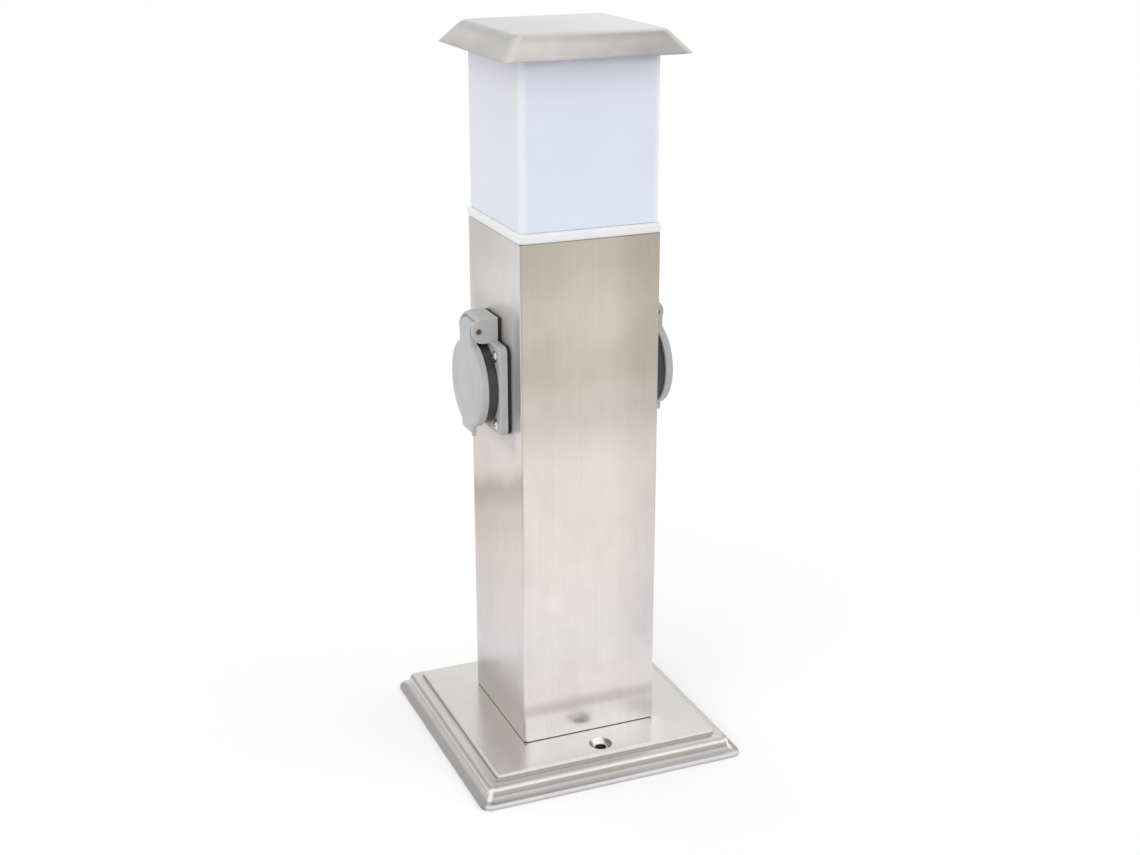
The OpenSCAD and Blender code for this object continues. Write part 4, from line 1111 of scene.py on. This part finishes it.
# The spring's room is open below the pin and behind it
def springSlot():
    s = lid
    up, out = outlet["hingeUp"], outlet["hingeOut"]
    low, room, reach = up - s["springLeg"], s["springRadius"], s["knuckle"] + s["slotSpare"]
    outline = [(out - reach, low), (out + room, low), (out + room, up), (out, up), (out, up + reach),
               (out - reach, up + reach)]
    return hingePrism("slot", outline, s["springHalf"])


def buildLid():
    s = lid
    disc = lathe("lid", lidProfile(), s["sides"])
    for build in (lidArm, lidTab, lidNub):
        unite(disc, build())
    cut(disc, rod("pinBore", s["pinBore"], s["pinCut"], pinPlace(), s["pinSides"], "X"))
    cut(disc, rod("springRoom", s["springRadius"], 2 * s["springHalf"], pinPlace(), s["pinSides"], "X"))
    cut(disc, springSlot())
    return smoothByAngle(disc, mouldedAngle)


placeOnFaces(buildLid(), lidBodies, "grey_plastic", "lid")
print("stage: lids")

# Plate screws: domed heads with a cross recess, each turned its own way
screw = {
    "head": 3.1, "rise": 1.6, "headWall": 0.45, "dome": 4.2, "domeTurn": 48, "domeSteps": 8,
    "shank": 1.5, "tip": -6.0, "point": 1.5, "sides": 32,
    "slotHalf": 0.42, "slotReach": 1.9, "slotDepth": 0.9, "slotSpare": 1.0,
    "turns": ((-1, -1, 20), (1, -1, 65), (1, 1, 35), (-1, 1, 80)),
}


def buildScrews():
    s = screw
    seat, top = outlet["plateFront"], outlet["plateFront"] + s["rise"]
    profile = arcPoints(0.0, top - s["dome"], s["dome"], 90, s["domeTurn"], s["domeSteps"])
    profile += [(s["head"], seat + s["headWall"]), (s["head"], seat), (s["shank"], seat),
                (s["shank"], s["tip"] + s["point"]), (0.0, s["tip"])]
    one = lathe("plateScrews", profile, s["sides"])
    low, high = top - s["slotDepth"], top + s["slotSpare"]
    for x, y in ((s["slotReach"], s["slotHalf"]), (s["slotHalf"], s["slotReach"])):
        cut(one, block("cross", (-x, -y, low), (x, y, high)))
    smoothByAngle(one, mouldedAngle)
    at = outlet["screwAt"] * mm
    copies = []
    for sx, sy, degrees in s["turns"]:
        copy = copyPiece(one)
        turn = Matrix.Rotation(math.radians(degrees), 4, "Z")
        copy.data.transform(Matrix.Translation((sx * at, sy * at, 0.0)) @ turn)
        copies.append(copy)
    bpy.data.objects.remove(one)
    piece = joinPieces(copies)
    piece.name = "plateScrews"
    return piece


placeOnFaces(buildScrews(), fixedBodies, "bright_metal", "plate_screws")
print("stage: plate screws")

# Lid springs: round wire wound about the pin, one leg on the hinge block's wall and one behind the lid
spring = {
    "radius": 2.6, "wire": 0.35, "pitch": 1.2, "turns": 5.5, "steps": 32, "back": 4.75, "leg": 6.0,
    "wireSteps": 3,
}
springSpan = spring["pitch"] * spring["turns"]


def springPath():
    s = spring
    up, out = outlet["hingeUp"], outlet["hingeOut"]
    path = [(-springSpan / 2, up - s["leg"], out - s["back"])]
    for i in range(int(s["turns"] * s["steps"]) + 1):
        turn = 2 * math.pi * i / s["steps"]
        path.append((-springSpan / 2 + s["pitch"] * i / s["steps"], up + s["radius"] * math.sin(turn),
                     out - s["radius"] * math.cos(turn)))
    path.append((springSpan / 2, up - s["leg"], out + s["radius"]))
    return path


def buildSpring():
    clearSelection()
    bpy.ops.curve.primitive_nurbs_path_add()
    piece = named("lidSpring")
    curve = piece.data
    curve.splines.clear()
    path = springPath()
    line = curve.splines.new("POLY")
    line.points.add(len(path) - 1)
    for point, place in zip(line.points, path):
        point.co = (*(Vector(place) * mm), 1.0)
    curve.bevel_depth = spring["wire"] * mm
    curve.bevel_resolution = spring["wireSteps"]
    curve.use_fill_caps = True
    makeActive(piece)
    bpy.ops.object.convert(target="MESH")
    piece = turnOut(named("lidSpring"))
    return smoothByAngle(piece, roundAngle, False)


# Each spring is copied onto its face, takes its slot's finish and the CAD node's place, and stays fixed where
# it is
def placeSprings(piece):
    for side, word in faces:
        copy = copyToFace(piece, side, word)
        coat(copy, "spring_steel", word + "_lid_spring")
        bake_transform(copy)
    bpy.data.objects.remove(piece)


placeSprings(buildSpring())
print("stage: lid springs")


# CAD nodes that stay keep their shape and get the finish of their slot; the hinge pins get a darker brass
def dressNodes():
    for part in frame["record"]["subparts"]:
        darkPin = part["node"].endswith("hinge_pin")
        paint(frame["nodes"][part["node"]], "agedBrass" if darkPin else slotFinish[part["material_slot"]])


dressNodes()
print("stage: CAD nodes dressed")

# Floor, world and lamps, in metres; a lamp is (name, place, aim, size, power)
studio = {
    "floorHalf": 6.0, "underBase": (0.070, 0.079), "clear": (0.40, 1.0), "worldLevel": 0.68,
    "paper": {
        "Base Color": (0.84, 0.84, 0.84, 1.0), "Roughness": 0.9, "Specular IOR Level": 0.1,
        "Emission Strength": 0.22,
    },
    "lamps": (
        ("keyLamp", (-2.0, -1.7, 2.3), (0.0, 0.0, 0.22), 3.6, 36.0),
        ("rightLamp", (2.3, -1.2, 1.6), (0.0, 0.0, 0.20), 2.8, 20.0),
        ("rearLamp", (-0.8, 2.4, 2.0), (0.0, 0.0, 0.20), 2.8, 14.0),
    ),
}
white = (1.0, 1.0, 1.0, 1.0)


# 1 for what the camera sees, also in a mirror or through glass
def seenDirectly(wire):
    rays = wire.tree.nodes.new("ShaderNodeLightPath")
    seen = Wire(wire.tree, rays.outputs["Is Camera Ray"])
    for name in ("Is Glossy Ray", "Is Transmission Ray"):
        seen = wire.math("MAXIMUM", seen, Wire(wire.tree, rays.outputs[name]))
    return seen


def buildWorld():
    world = bpy.data.worlds.new("studioWorld")
    world.use_nodes = True
    bpy.context.scene.world = world
    tree = world.node_tree
    background = firstNode(tree, "BACKGROUND")
    background.inputs["Color"].default_value = white
    level = studio["worldLevel"] + seenDirectly(Wire(tree)) * (1.0 - studio["worldLevel"])
    tree.links.new(level.socket, background.inputs["Strength"])


# 1 from the second distance from the middle on, 0 up to the first, for what the camera sees
def farOff(wire, reach):
    distance = wire.node("ShaderNodeVectorMath", {"operation": "LENGTH"}, {0: objectPlace(wire)}, "Value")
    return seenDirectly(wire) * band(distance, *reach)


# The floor keeps its shadow near the object and turns white away from it
def buildFloor():
    clearSelection()
    bpy.ops.mesh.primitive_plane_add(size=2 * studio["floorHalf"])
    floor = named("studioFloor")
    material = makeMaterial("floorPaper", studio["paper"],
                            lambda wire: {"Emission Color": grey(farOff(wire, studio["underBase"]))})
    tree = material.node_tree
    wire = Wire(tree)
    paper = Wire(tree, firstNode(tree, "BSDF_PRINCIPLED").outputs["BSDF"])
    plain = wire.node("ShaderNodeEmission", {}, {"Color": white, "Strength": 1.0})
    mixed = wire.node("ShaderNodeMixShader", {}, {0: farOff(wire, studio["clear"]), 1: paper, 2: plain})
    tree.links.new(mixed.socket, firstNode(tree, "OUTPUT_MATERIAL").inputs["Surface"])
    floor.data.materials.append(material)


def buildLamps():
    for name, place, aim, size, power in studio["lamps"]:
        data = bpy.data.lights.new(name, "AREA")
        data.size = size
        data.energy = power
        lamp = placeLooking(name, data, place, Vector(aim) - Vector(place))
        lamp.visible_glossy = False  # steel shows the white room, not the lamps


bpy.context.scene.view_settings.view_transform = "Standard"
buildWorld()
buildFloor()
buildLamps()
print("stage: studio")

bpy.context.view_layer.update()
